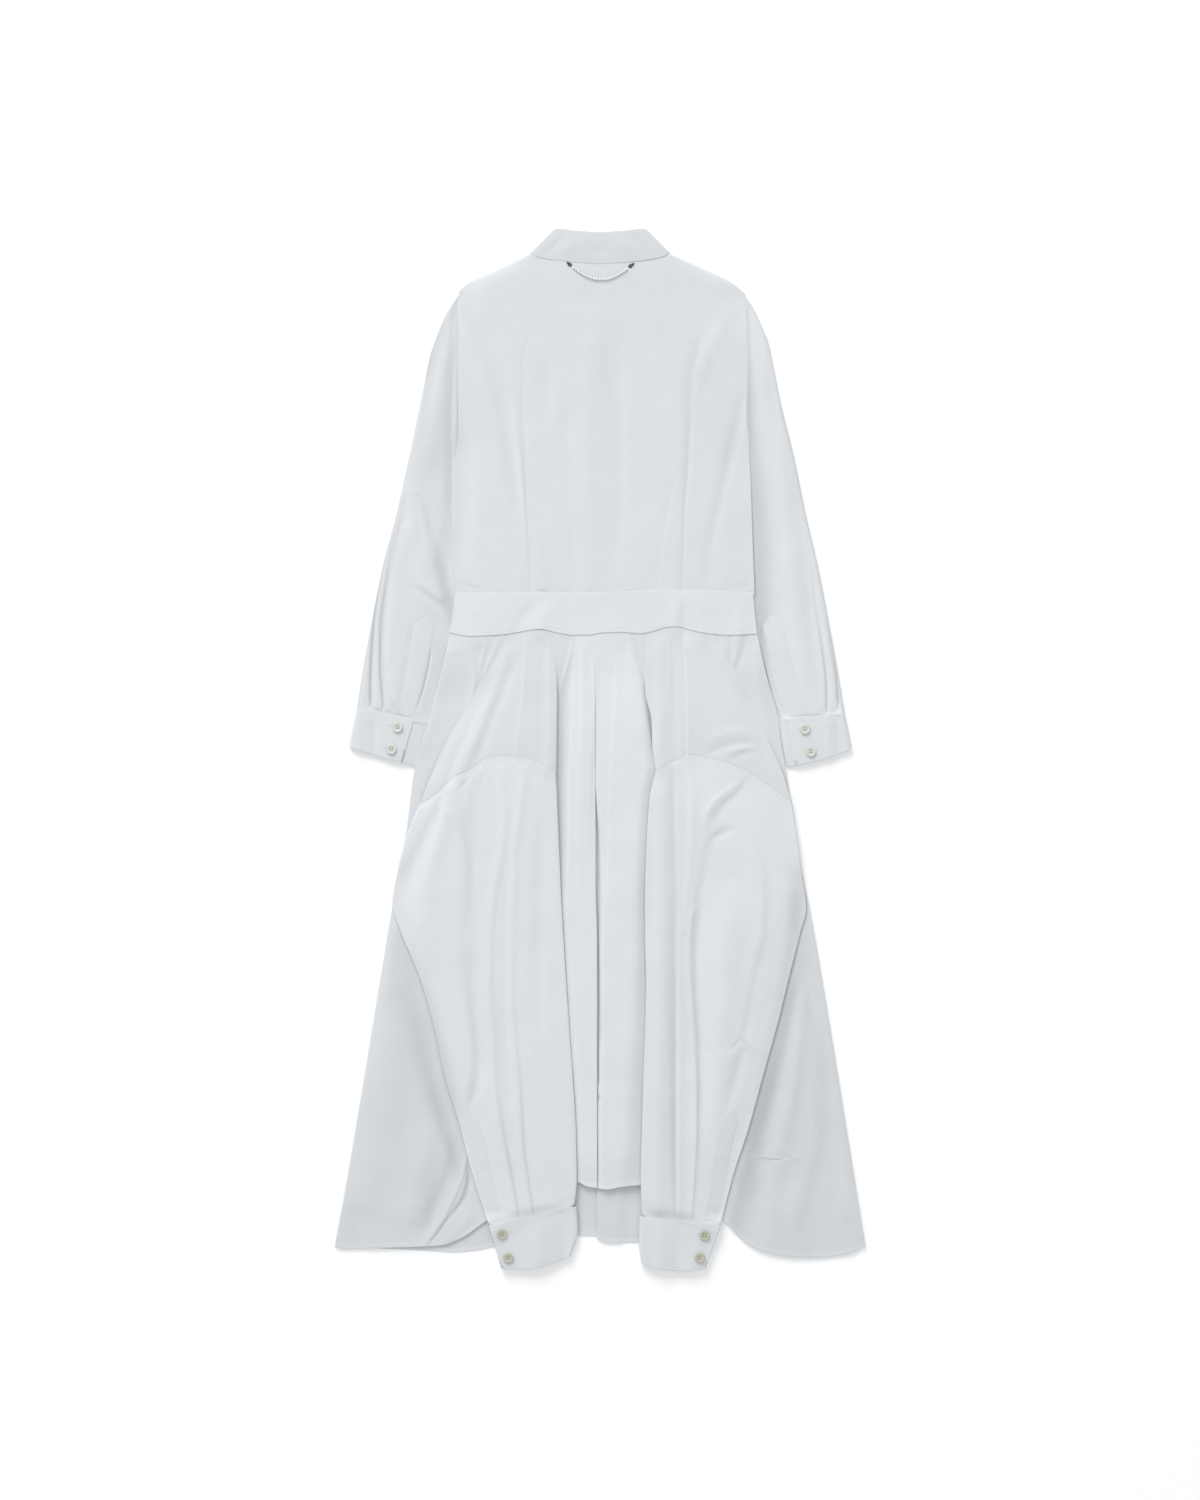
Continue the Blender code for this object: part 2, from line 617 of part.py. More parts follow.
def button(name, x, y, cuff_piece, blank):
    spot, normal = top_of(tree_of([cuff_piece]), x, y)
    made = bpy.data.objects.new(name, blank.copy())
    turn = Vector((0, 0, 1)).rotation_difference(normal).to_matrix().to_4x4()
    made.data.transform(Matrix.Translation((spot + normal * 0.4) * MM) @ turn)
    bpy.context.collection.objects.link(made)
    return made


def along(points, distance):
    for a, b in zip(points, points[1:]):
        step = (b - a).length
        if distance <= step:
            return a.lerp(b, distance / step)
        distance -= step
    return points[-1]


def pearl_chain(tree, look):
    """The chain's path is a smooth curve through its route; the tube stands for the strung beads."""
    route = [Vector((x, y, 0)) for x, y in CHAIN]
    length = sum((b - a).length for a, b in zip(route, route[1:]))
    count = round(length / CHAIN_STEP)
    curve = bpy.data.curves.new("pearl_chain", "CURVE")
    curve.dimensions = "3D"
    curve.bevel_depth = PEARL_RADIUS * MM
    curve.bevel_resolution = 2
    curve.use_fill_caps = True
    spline = curve.splines.new("POLY")
    spline.points.add(count)
    for i, point in enumerate(spline.points):
        spot = along(route, length * i / count)
        height = top_of(tree, spot.x, spot.y)[0].z + PEARL_RADIUS + 0.4
        point.co = (spot.x * MM, spot.y * MM, height * MM, 1)
    curve.materials.append(look)
    chain = bpy.data.objects.new("pearl_chain", curve)
    bpy.context.collection.objects.link(chain)


def chain_ring(name, x, y, tree, look):
    z = top_of(tree, x, y)[0].z + RING_WIRE + 0.35
    points, faces = [], []
    around, sides = 16, 8
    for i in range(around):
        turn = 2 * math.pi * i / around
        out = Vector((math.cos(turn), math.sin(turn), 0))
        for k in range(sides):
            roll = 2 * math.pi * k / sides
            radius = RING_RADIUS + RING_WIRE * math.cos(roll)
            points.append(Vector((x, y, z)) + out * radius + Vector((0, 0, RING_WIRE * math.sin(roll))))
    for i in range(around):
        for k in range(sides):
            a, b = i * sides + k, i * sides + (k + 1) % sides
            c, d = ((i + 1) % around) * sides + (k + 1) % sides, ((i + 1) % around) * sides + k
            faces.append((a, b, c, d))
    return add_object(name, points, faces, look)


# ---------------------------------------------------------------- the dress


def on_floor(x, y):
    return 0.0


def build_bodice(look):
    columns = between(BODICE_LEFT, BODICE_RIGHT, SHOULDER_AND_NECK, BODICE_WAIST, spread(16))
    back = panel("shirt_back", columns, SHOULDER_AND_NECK, BODICE_WAIST, bodice_under, spread(12), look)
    downs = (0, 0.06, 0.13, 0.2, 0.27, 0.45, 0.7, 1)
    neck_left = [p for p in SHOULDER_AND_NECK if p[0] < -60] + [p for p in FRONT_NECK if p[0] < 20]
    neck_right = [p for p in FRONT_NECK if p[0] > -20] + [p for p in SHOULDER_AND_NECK if p[0] > 60]

    def left_columns(v):
        side = at(BODICE_LEFT, lerp(573.6, WAIST_Y, v))
        return [side, -148, -120, -88, -60, -52, -38, -14, 14]

    def right_columns(v):
        side = at(BODICE_RIGHT, lerp(571.2, WAIST_Y, v))
        return [-14, 14, 22, 38, 52, 60, 88, 120, 148, side]

    panel("front_left", left_columns, neck_left, BODICE_WAIST, leaf_lift, downs, look)
    panel("front_right", right_columns, neck_right, BODICE_WAIST, front_right_under, downs, look)
    return back


def build_skirt(look):
    top = ((-400, 196.4), (400, 196.4))
    edge_left = ((196.4, 24), (-608.5, 24))
    panel(
        "skirt_front_left", between(SKIRT_LEFT, edge_left, top, FRONT_HEM_LEFT, spread(8, 0)),
        top, FRONT_HEM_LEFT, on_floor, spread(9, 0), look,
    )

    def right_columns(v):
        side = at(SKIRT_RIGHT, lerp(196.4, -617.5, v))
        return [-4, 12, 26] + [lerp(32, side, u) for u in (0, 0.16, 0.33, 0.5, 0.66, 0.82, 1)]

    panel(
        "skirt_front_right", right_columns, top, FRONT_HEM_RIGHT, skirt_front_right_under, spread(9, 0), look,
    )

    def back_left_columns(v):
        side = at(SKIRT_LEFT, lerp(196.4, -621.2, v))
        shares = (0, 0.03, 0.09, 0.2, 0.34, 0.5, 0.66, 0.84)
        return [lerp(side, -34, u) for u in shares] + [-34, -24, -12, -8, -4.6]

    panel(
        "skirt_back_left", back_left_columns, top, BACK_HEM, skirt_left_under, spread(11, 0.3), look,
    )

    def back_right_columns(v):
        y = lerp(196.4, -600, v)
        side = at(SKIRT_RIGHT, lerp(196.4, -620.6, v))
        pleat = at(PLEAT_EDGE, y)
        shares = (0.16, 0.33, 0.5, 0.66, 0.8, 0.91, 0.97, 1)
        near = [-18, -10, -6, lerp(-6, pleat, 0.6), pleat, pleat + 4, 40, 54]
        return near + [lerp(54, side, u) for u in shares]

    panel(
        "skirt_back_right", back_right_columns, top, BACK_HEM, skirt_right_under, spread(11, 0.3), look,
    )


def build_hung(look):
    top = ((-400, 196.2), (400, 196.2))
    downs = spread(7, 0)
    panel(
        "hung_shoulder_left", between(HUNG_LEFT_OUTER, HUNG_LEFT_INNER, top, CAP_LEFT, shares_of(CAP_LEFT)),
        top, CAP_LEFT, hung_left_under, downs, look,
    )
    panel(
        "hung_shoulder_right", between(HUNG_RIGHT_INNER, HUNG_RIGHT_OUTER, top, CAP_RIGHT, shares_of(CAP_RIGHT)),
        top, CAP_RIGHT, hung_right_under, downs, look,
    )
    left = sleeve(
        "hung_sleeve_left", HUNG_SLEEVE_LEFT, cap_line(CAP_LEFT, -225.2, -54.8), HUNG_FOLDS, hung_rest, look, 22,
    )
    right = sleeve(
        "hung_sleeve_right", HUNG_SLEEVE_RIGHT, cap_line(CAP_RIGHT, 239.2, 69.6), HUNG_FOLDS, hung_rest, look, 22,
    )
    placket("hung_placket_left", HUNG_PLACKET_LEFT, PLACKET_POINTS["hung_left"], left, look)
    placket("hung_placket_right", HUNG_PLACKET_RIGHT, PLACKET_POINTS["hung_right"], right, look)
    return (
        cuff("hung_cuff_left", HUNG_CUFF_LEFT, 0.012, 0.3, True, hung_rest, look),
        cuff("hung_cuff_right", HUNG_CUFF_RIGHT, 0.012, 0.3, True, hung_rest, look),
    )


def build_sleeves(look):
    left = sleeve(
        "sleeve_left", SLEEVE_LEFT, armhole_line(BODICE_LEFT, 572.4, 400), SLEEVE_FOLDS, on_floor, look, 18,
    )
    right = sleeve(
        "sleeve_right", SLEEVE_RIGHT, armhole_line(BODICE_RIGHT, 570, 400), SLEEVE_FOLDS, on_floor, look, 18,
    )
    placket("placket_left", PLACKET_LEFT, PLACKET_POINTS["left"], left, look)
    placket("placket_right", PLACKET_RIGHT, PLACKET_POINTS["right"], right, look)
    return (
        cuff("cuff_left", CUFF_LEFT, 0.19, 0.5, False, on_floor, look),
        cuff("cuff_right", CUFF_RIGHT, 0.14, 0.45, False, on_floor, look),
    )


def main():
    clear_scene()
    poplin = material("poplin", (0.74, 0.77, 0.8), 0.85)
    shell = material("button_shell", (0.62, 0.63, 0.54), 0.35)
    pearl = material("pearl", (0.83, 0.83, 0.8), 0.25)
    steel = material("dark_steel", (0.16, 0.16, 0.17), 0.35, 1.0)

    back = build_bodice(poplin)
    build_skirt(poplin)
    hung_cuffs = build_hung(poplin)
    cuffs = build_sleeves(poplin)
    band_top = tuple((x, y - 0.5) for x, y in BODICE_WAIST)
    columns = between(BAND_LEFT, BAND_RIGHT, band_top, BAND_LOW, spread(19, 0.3))
    panel("waistband", columns, band_top, BAND_LOW, band_under, (0, 0.35, 0.7, 1), poplin)
    collar_part("collar_fall", COLLAR_FALL, poplin)
    collar_part("collar_stand", COLLAR_STAND, poplin)

    blank = button_blank(shell)
    for name, (x, y) in BUTTONS.items():
        cuff_pair = hung_cuffs if name.startswith("hung") else cuffs
        button(name, x, y, cuff_pair[0 if "left" in name else 1], blank)

    back_tree = tree_of([back])
    pearl_chain(back_tree, pearl)
    for name, (x, y) in RINGS.items():
        chain_ring(name, x, y, back_tree, steel)


main()
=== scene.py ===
# A long-sleeved shirt dress of pale cotton poplin, laid flat on its front.
# A second pair of shirt sleeves hangs down over the back of the skirt.
# +X is to the right as seen from above, +Y towards the collar and +Z up from the surface.
# The tables are in millimetres; the meshes are written in metres.

import json
import math

import bpy
import numpy as np
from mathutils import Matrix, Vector
from mathutils.bvhtree import BVHTree

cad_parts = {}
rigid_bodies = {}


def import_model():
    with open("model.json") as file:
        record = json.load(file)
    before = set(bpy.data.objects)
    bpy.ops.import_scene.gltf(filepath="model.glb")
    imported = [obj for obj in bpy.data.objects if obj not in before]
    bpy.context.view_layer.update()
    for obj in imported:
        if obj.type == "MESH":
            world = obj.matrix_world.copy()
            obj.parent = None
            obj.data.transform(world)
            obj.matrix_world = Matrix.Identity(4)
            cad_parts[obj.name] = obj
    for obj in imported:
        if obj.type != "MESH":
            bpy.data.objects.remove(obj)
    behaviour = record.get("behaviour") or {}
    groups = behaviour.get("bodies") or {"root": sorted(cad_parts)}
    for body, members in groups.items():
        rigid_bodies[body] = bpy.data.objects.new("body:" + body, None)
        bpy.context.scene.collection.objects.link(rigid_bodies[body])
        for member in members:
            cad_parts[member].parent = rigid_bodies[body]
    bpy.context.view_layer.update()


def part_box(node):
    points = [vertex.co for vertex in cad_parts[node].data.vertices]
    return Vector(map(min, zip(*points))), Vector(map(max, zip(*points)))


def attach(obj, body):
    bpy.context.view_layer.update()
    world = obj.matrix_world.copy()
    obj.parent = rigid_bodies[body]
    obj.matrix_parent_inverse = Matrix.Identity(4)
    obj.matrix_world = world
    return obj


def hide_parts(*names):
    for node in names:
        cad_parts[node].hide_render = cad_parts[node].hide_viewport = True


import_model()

MM = 0.001
FOLD_GRID = 1.25          # the paths of folds are in steps of this many millimetres
CLOTH = 1.2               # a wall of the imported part
SEAM_STEP = 0.35          # from one cloth to the next at a pressed seam
STEEPEST = 0.33           # height of the steepest fold, over its half width
BROAD_BOOST = 1.2         # how much more the broad folds stand than the narrow ones
FRONT_LEVEL = 0.6         # the dress's front lies this far over the surface
BACK_LEVEL = 1.5          # and its back seams this far, without their own wall
LAP_STEP = 1.5            # one front half rises over the other where they lap
TUBE_HEIGHT = 6.2
TUBE_LEAST = 0.9          # a sleeve is nowhere flatter than this
WRIST_HEIGHT = 5.3        # where a sleeve goes into its cuff
UNDERSIDE = 0.15          # a sleeve's lower half lies this far over what is under it
CUFF_HEIGHT = 5.9
CUFF_WALL = 0.9
CUFF_ROLL = 5             # how far in from its end a cuff starts to bend round
BODICE_CROWN = 5.0
BAND_CROWN = 5.7
SLEEVE_LEVEL = 3.9        # what hangs over the skirt lies this high
PLATEAU = 5.7             # the pleated middle of the skirt stands this far over its sides
PLEAT_START = 1.9         # and this far just below the band
SKIRT_TOP = 196.4
WAIST_Y = 197.4
BAND_TOP = 196.9
BESIDE = 1e3              # an x beside everything that hangs
STITCH_PITCH = 3.1
STITCH_LENGTH = 2.3
STITCH_RADIUS = 0.19
STITCH_DENT = 0.12        # how deep a row of stitches pulls the cloth in
BUTTON_DIAMETER = 12.8
BUTTON_THICKNESS = 2.1
BUTTON_DISH = 0.79        # height of a button's middle, over its thickness
HOLE_RADIUS = 0.82
HOLE_OFFSET = 1.35
HOLE_LENGTH = 9           # of a buttonhole
PEARLS = 21
PEARL_RADIUS = 1.6
PEARL_SINK = 0.15         # how far a pearl sinks into the cloth
THREAD_RADIUS = 0.35
RING_RADIUS = 2.1
RING_WIRE = 0.48
CLASP_RADIUS = 0.85
CLASP_BODY = 1.25
BUTTON_LIFT = 0.35        # from the cuff to the button on its thread
PLACKET_LIFT = 0.26
CLOTH_COLOUR = (0.706, 0.731, 0.752)
SHELL_DARK = (0.50, 0.50, 0.38)
SHELL_YELLOW = (0.58, 0.575, 0.45)
SHELL_PALE = (0.66, 0.67, 0.6)
SHELL_LIGHT = (0.74, 0.75, 0.7)
AMBIENT = 0.72
KEY_SPOT = (-2.6, 6.4, 3.75)
KEY_TARGET = (0, -0.1, 0)
KEY_SIZE = 3.6
KEY_POWER = 410
FLOOR_GLOW = 0.14
FLOOR_HALF = 6
FLOOR_Z = -0.0003
CAMERA_HEIGHT = 4.433
SIDES = ("left", "right", "top", "low")
UP = Vector((0, 0, 1))

# ---------------------------------------------------------------- outlines
# Edge tables: (y, x) down the side of a panel, or (x, y) along its top or bottom.

BODICE_LEFT = (
    (573.6, -176.5), (545, -178), (521, -177), (494, -177.5), (456, -180),
    (412, -181.2), (385, -181.8), (337, -184.8), (262, -185), (WAIST_Y, -180.5),
)
BODICE_RIGHT = (
    (571.2, 181), (545, 182.8), (512, 184), (472, 185), (420, 185.2), (385, 185.8),
    (337, 188.2), (312, 189), (250, 191), (WAIST_Y, 193.1),
)
SHOULDER_AND_NECK = (
    (-176.5, 573.6), (-163.5, 584.6), (-139, 597), (-114.5, 607.5), (-86.6, 619.8), (-60, 631),
    (-40, 626), (0, 623), (40, 626), (60, 631), (87.5, 619.6), (128, 602.5), (164, 585), (181, 571.2),
)
FRONT_NECK = ((-60, 631), (-52, 610), (-38, 592), (-14, 580), (14, 580), (38, 592), (52, 610), (60, 631))
BODICE_WAIST = ((-180.5, 197.4), (-87, 198.2), (-11, 197.4), (83, 201), (193.1, 197.4))

BAND_LEFT = ((196.8, -179.8), (147, -187.4))
BAND_RIGHT = ((196.8, 190.8), (146, 196))
BAND_LOW = (
    (-187.4, 147), (-162, 142.5), (-142, 143.3), (-115, 145.4), (-92, 149.6), (-76, 151.6),
    (-56, 147.6), (-34, 144), (-17, 144), (5, 147), (27, 147.6), (50, 146), (66, 148.8),
    (83, 153.8), (97, 154.6), (111, 151), (128, 147), (159, 144), (196, 145.5),
)

SKIRT_LEFT = (
    (196.4, -180), (150, -187), (140, -188.6), (98, -198), (65, -206.6), (33, -215.4), (-21, -231),
    (-104, -242.5), (-199, -260), (-431, -298.4), (-534, -315.6), (-621.2, -331.5),
)
SKIRT_RIGHT = (
    (196.4, 190.6), (146, 196.4), (140, 197.6), (98, 207), (68, 214.6), (38, 222.6), (17, 225),
    (-21, 231.4), (-101, 244.2), (-144, 251), (-195, 261.2), (-620.6, 331.5),
)
BACK_HEM = (
    (-331.5, -621.2), (-318, -623.4), (-249, -621.8), (-200, -619.4), (-174, -610.4), (-145, -590.7),
    (-87.5, -556.2), (-27, -540.2), (-17.6, -544.8), (-3, -547.4), (8.8, -549.1), (25, -546.2),
    (50, -543.8), (100, -556.2), (153.6, -587.5), (170, -603.8), (186.2, -618.5), (209, -628.2),
    (235, -633.2), (271, -634.9), (310, -630), (331.5, -620.6),
)
FRONT_HEM_LEFT = (
    (-331.5, -621.2), (-250, -625), (-213, -626.5), (-184, -628.5), (-154, -626), (-135, -622),
    (-87, -612.5), (-29, -608), (24, -608.5),
)
FRONT_HEM_RIGHT = (
    (-4, -611.5), (8.8, -616.6), (48, -616.6), (80, -612), (120, -598), (150, -582), (170, -599.5),
    (186, -614), (209, -624.2), (235, -629.2), (271, -631), (310, -626.4), (331.5, -617.5),
)
PLEAT_EDGE = ((196, 21.5), (55, 17.5), (6, 13.8), (-41, 12), (-100, 10), (-187, 6.8), (-312, 1), (-640, 0))

HUNG_LEFT_OUTER = ((196.2, -100), (145, -115), (64, -160.8), (15, -189.8), (-34, -212), (-67, -224.6))
HUNG_LEFT_INNER = ((196.2, -58), (146, -56.9), (64, -53.8), (-28, -54.6))
HUNG_RIGHT_INNER = ((196.2, 58), (145, 56.7), (73, 57), (37, 64.5), (2, 65.6), (-27, 70))
HUNG_RIGHT_OUTER = ((196.2, 126), (145, 141.5), (93, 172.8), (46, 195), (2, 215), (-30, 228.6), (-65, 238.6))
CAP_LEFT = (
    (-224.6, -67), (-207.5, -56), (-183, -33.5), (-160.8, -22.5), (-142.9, -10.2), (-125, -7.2),
    (-100.5, -7.2), (-80.4, -13.5), (-54.6, -28),
)
CAP_RIGHT = (
    (70, -27), (75.6, -22.3), (85.8, -15.6), (97, -11), (109, -5), (121, -6.6), (150.5, -13.3),
    (177, -22.3), (208.5, -42.4), (238.6, -64.5),
)

# Sleeve sections, from the armhole down: outer edge x, y; inner edge x, y; share of the armhole's curve.
SLEEVE_LEFT = (
    (-178.1, 572.4, -186.1, 400, 1.0), (-186.2, 559.2, -180, 372, 0.5), (-196.2, 539.6, -179.5, 350, 0.2),
    (-206, 513.5, -180, 330, 0), (-212.5, 494, -180.5, 312, 0), (-220.9, 451.6, -180.5, 290, 0),
    (-238.1, 370, -179.5, 262, 0), (-255.2, 292.5, -177, 228, 0), (-270, 237.5, -175.5, 200, 0),
    (-282, 180, -179.5, 165, 0), (-288.4, 145.9, -183, 140, 0), (-297, 98, -194.2, 98, 0),
    (-303.9, 54.5, -212.2, 34.8, 0),
)
SLEEVE_RIGHT = (
    (182.6, 570, 190.4, 400, 1.0), (191.7, 556, 184, 372, 0.5), (201.6, 533.1, 183, 350, 0.2),
    (209.7, 511.9, 183, 330, 0), (215.5, 485, 183.5, 312, 0), (226.7, 430, 184.5, 290, 0),
    (241, 373, 185.5, 262, 0), (256, 300, 186.5, 228, 0), (270.6, 237.5, 187.5, 200, 0),
    (279.9, 191.6, 191, 172, 0), (289, 142.1, 197, 140, 0), (298.2, 90.8, 207.8, 98, 0),
    (305.5, 47.1, 224.9, 38.9, 0),
)
HUNG_SLEEVE_LEFT = (
    (-225.2, -68, -54.8, -28.9, 1.0), (-234, -90, -53.6, -55, 0.7), (-244, -115, -52.5, -85, 0.4),
    (-252.5, -150, -50.5, -130, 0.15), (-259.5, -196, -47.8, -190, 0), (-249, -228, -45, -238, 0),
    (-226.4, -283.5, -41.6, -293, 0), (-210, -338.8, -38.5, -340, 0), (-193.8, -411, -34, -405, 0),
    (-176.2, -468, -30, -470, 0), (-160, -530, -28.8, -535, 0), (-139.5, -593.6, -31.6, -569.8, 0),
)
HUNG_SLEEVE_RIGHT = (
    (239.2, -65.6, 69.6, -28, 1.0), (243.5, -92, 62.5, -58, 0.7), (248, -120, 59.5, -90, 0.4),
    (252, -150, 57.5, -130, 0.15), (258.2, -198.5, 56, -190, 0), (251, -228, 56.3, -235, 0),
    (237, -283, 57.3, -293, 0), (223, -340, 56.3, -345, 0), (204, -408, 54, -405, 0),
    (186, -473, 52.4, -470, 0), (167, -531, 50.8, -535, 0), (151.1, -593.4, 52.3, -582.1, 0),
)
# Cuff sections, from the sleeve down: outer edge x, y; inner edge x, y; bow of the edge line.
CUFF_LEFT = ((-304, 54, -212.8, 34.3, 0), (-309.4, 29, -221.2, 7.1, 0), (-314, 4.6, -229, -19.9, -1.5))
CUFF_RIGHT = ((305.6, 46.6, 224.9, 38.4, 0), (310.6, 24, 227.6, 10, 0), (314.7, 1.9, 233.1, -21, -3))
HUNG_CUFF_LEFT = (
    (-139.4, -594.1, -29, -570.2, 0), (-131.5, -620, -27.2, -602, -2), (-124, -647.8, -36, -632, -6.6),
)
HUNG_CUFF_RIGHT = (
    (151, -593.9, 49.5, -582.6, 0), (142, -621, 48.8, -618, -2), (132, -647.8, 51.5, -642.5, -5.4),
)

# Placket edges, point to cuff: left x, y; right x, y.
PLACKET_LEFT = (
    (-231.5, 156.9, -206.5, 153.5), (-236, 128, -212.8, 127.5), (-245, 86, -222.6, 82),
    (-253.6, 45, -234.6, 40.6),
)
PLACKET_RIGHT = (
    (204.5, 155, 227.2, 161.2), (210.5, 128, 234.2, 132), (224.5, 82, 246.4, 84), (237.4, 41.6, 260.6, 44),
)
HUNG_PLACKET_LEFT = (
    (-171, -467, -152.8, -460.5), (-163, -500, -143.6, -495), (-151, -542, -134, -540),
    (-136.6, -589, -122.4, -586),
)
HUNG_PLACKET_RIGHT = (
    (153.5, -460.5, 172.4, -462), (144, -496, 164.6, -494), (139, -545, 154.6, -546),
    (128.6, -587, 145.2, -589),
)

# Collar sections round the neck, from the front edge, round the side and over the back:
# fold line x, y, z; free edge x, y, z. The right side follows the left, mirrored.
COLLAR_FALL = (
    (-4, 606, 0.6, -48, 541, 0.6), (-26, 615, 0.6, -60, 560, 0.6), (-38, 629, 0.6, -72, 585, 0.6),
    (-52, 645, 0.6, -82.4, 611, 0.6), (-57.2, 650.4, 0.8, -86, 621.4, 0.8),
    (-58.2, 651.2, 4, -87.2, 622.6, 4.0), (-57.4, 651.2, 6.9, -86, 621.6, 6.8),
    (-52, 651.1, 7.2, -80, 616.8, 7.5), (-28, 648.8, 7.2, -45, 610.9, 7.6), (0, 647.1, 7.2, 0, 607.9, 7.6),
)
COLLAR_STAND = (
    (-1.2, 605, 2.1, -1.2, 581, 2.1), (-10, 606, 2.1, -14, 581.2, 2.1), (-26, 613.4, 2.1, -37, 593.2, 2.1),
    (-38, 626.6, 2.1, -51, 610.8, 2.1), (-50, 644, 2.2, -58.8, 633.6, 2.1),
    (-52.4, 647.4, 3.8, -60.8, 636.4, 3.8),
    (-50, 647.8, 5.2, -57.6, 634, 5.3), (-27, 645.8, 5.3, -38, 629, 5.1), (0, 643.6, 5.3, 0, 624, 4.9),
)
# Hanging pearl chain, x, y, from ring to ring.
CHAIN = (
    (-34.2, 603.6), (-28, 598.6), (-21, 594.2), (-14, 590.9), (-7, 588.7), (0, 587.8), (7, 588), (14, 589.9),
    (21, 593), (28, 597.1), (34.2, 602),
)
RINGS = ("chain_ring_left", "chain_ring_right")
# Ends of the catches, x, y: under the collar, and beside the first pearl.
CLASPS = {"clasp_left": ((-42, 610), (-35.2, 604.4)), "clasp_right": ((43.2, 608.8), (35.4, 602.8))}

# The pleated middle of the skirt, between the hanging sleeves, (y, x).
MIDDLE_LEFT = (
    (196, -28), (140, -33), (117.5, -38), (74, -41.2), (6, -42.5), (-39, -45.5), (-130, -46),
    (-187, -45.4), (-244, -43), (-326, -37.5), (-405, -32.4), (-470, -28.4), (-545, -27.2), (-640, -27),
)
MIDDLE_RIGHT = (
    (196, 38), (140, 41.1), (95.5, 52.2), (51, 58.8), (6, 64.5), (-27.5, 66), (-58, 60.5), (-90, 57),
    (-130, 55), (-190, 53.5), (-293, 55), (-345, 54), (-405, 52), (-470, 50.5), (-535, 49), (-640, 50),
)
MIDDLE_EDGE = ((196.4, -6.6), (-170, -6.4), (-230, -4.8), (-640, -4.4))


def whole_edge(shoulder, sections, column):
    """A side edge of all that hangs, (y, x), from the shoulder to the end of the cuff."""
    return shoulder + tuple((row[column + 1], row[column]) for row in sections)


COVER_LEFT_OUTER = whole_edge(HUNG_LEFT_OUTER, HUNG_SLEEVE_LEFT + HUNG_CUFF_LEFT, 0)
COVER_LEFT_INNER = whole_edge(HUNG_LEFT_INNER, HUNG_SLEEVE_LEFT + HUNG_CUFF_LEFT, 2)
COVER_RIGHT_OUTER = whole_edge(HUNG_RIGHT_OUTER, HUNG_SLEEVE_RIGHT + HUNG_CUFF_RIGHT, 0)
COVER_RIGHT_INNER = whole_edge(HUNG_RIGHT_INNER, HUNG_SLEEVE_RIGHT + HUNG_CUFF_RIGHT, 2)

WAIST_LINE = np.array(((-180.5, 200.4), (-87, 201.2), (-11, 200.4), (83, 204), (193.1, 200.4)), float)

# ---------------------------------------------------------------- folds


def paths(text, height=1, gap=1):
    """Reads paths that run down the cloth: a name, a colon, points between commas, a semicolon.
    A point holds x, y, half width to the left, half width to the right, height, and the depth of the
    narrow gap beside its steeper side. With five numbers it has no gap, and with four it is also as
    wide to the right as to the left. Heights and gaps are multiplied by height and gap."""
    found = []
    for entry in text.split(";")[:-1]:
        rows = []
        for point in entry.split(":")[1].split(","):
            x, y, left, *more = (float(word) for word in point.split())
            if len(more) == 1:
                more = (left, *more)
            right, rise, deep = (*more, 0)[:3]
            place = (round(x * FOLD_GRID, 1), round(y * FOLD_GRID, 1))
            rows.append((*place, left, right, round(rise * height, 2), round(deep * gap, 2)))
        found.append(tuple(rows))
    return tuple(found)


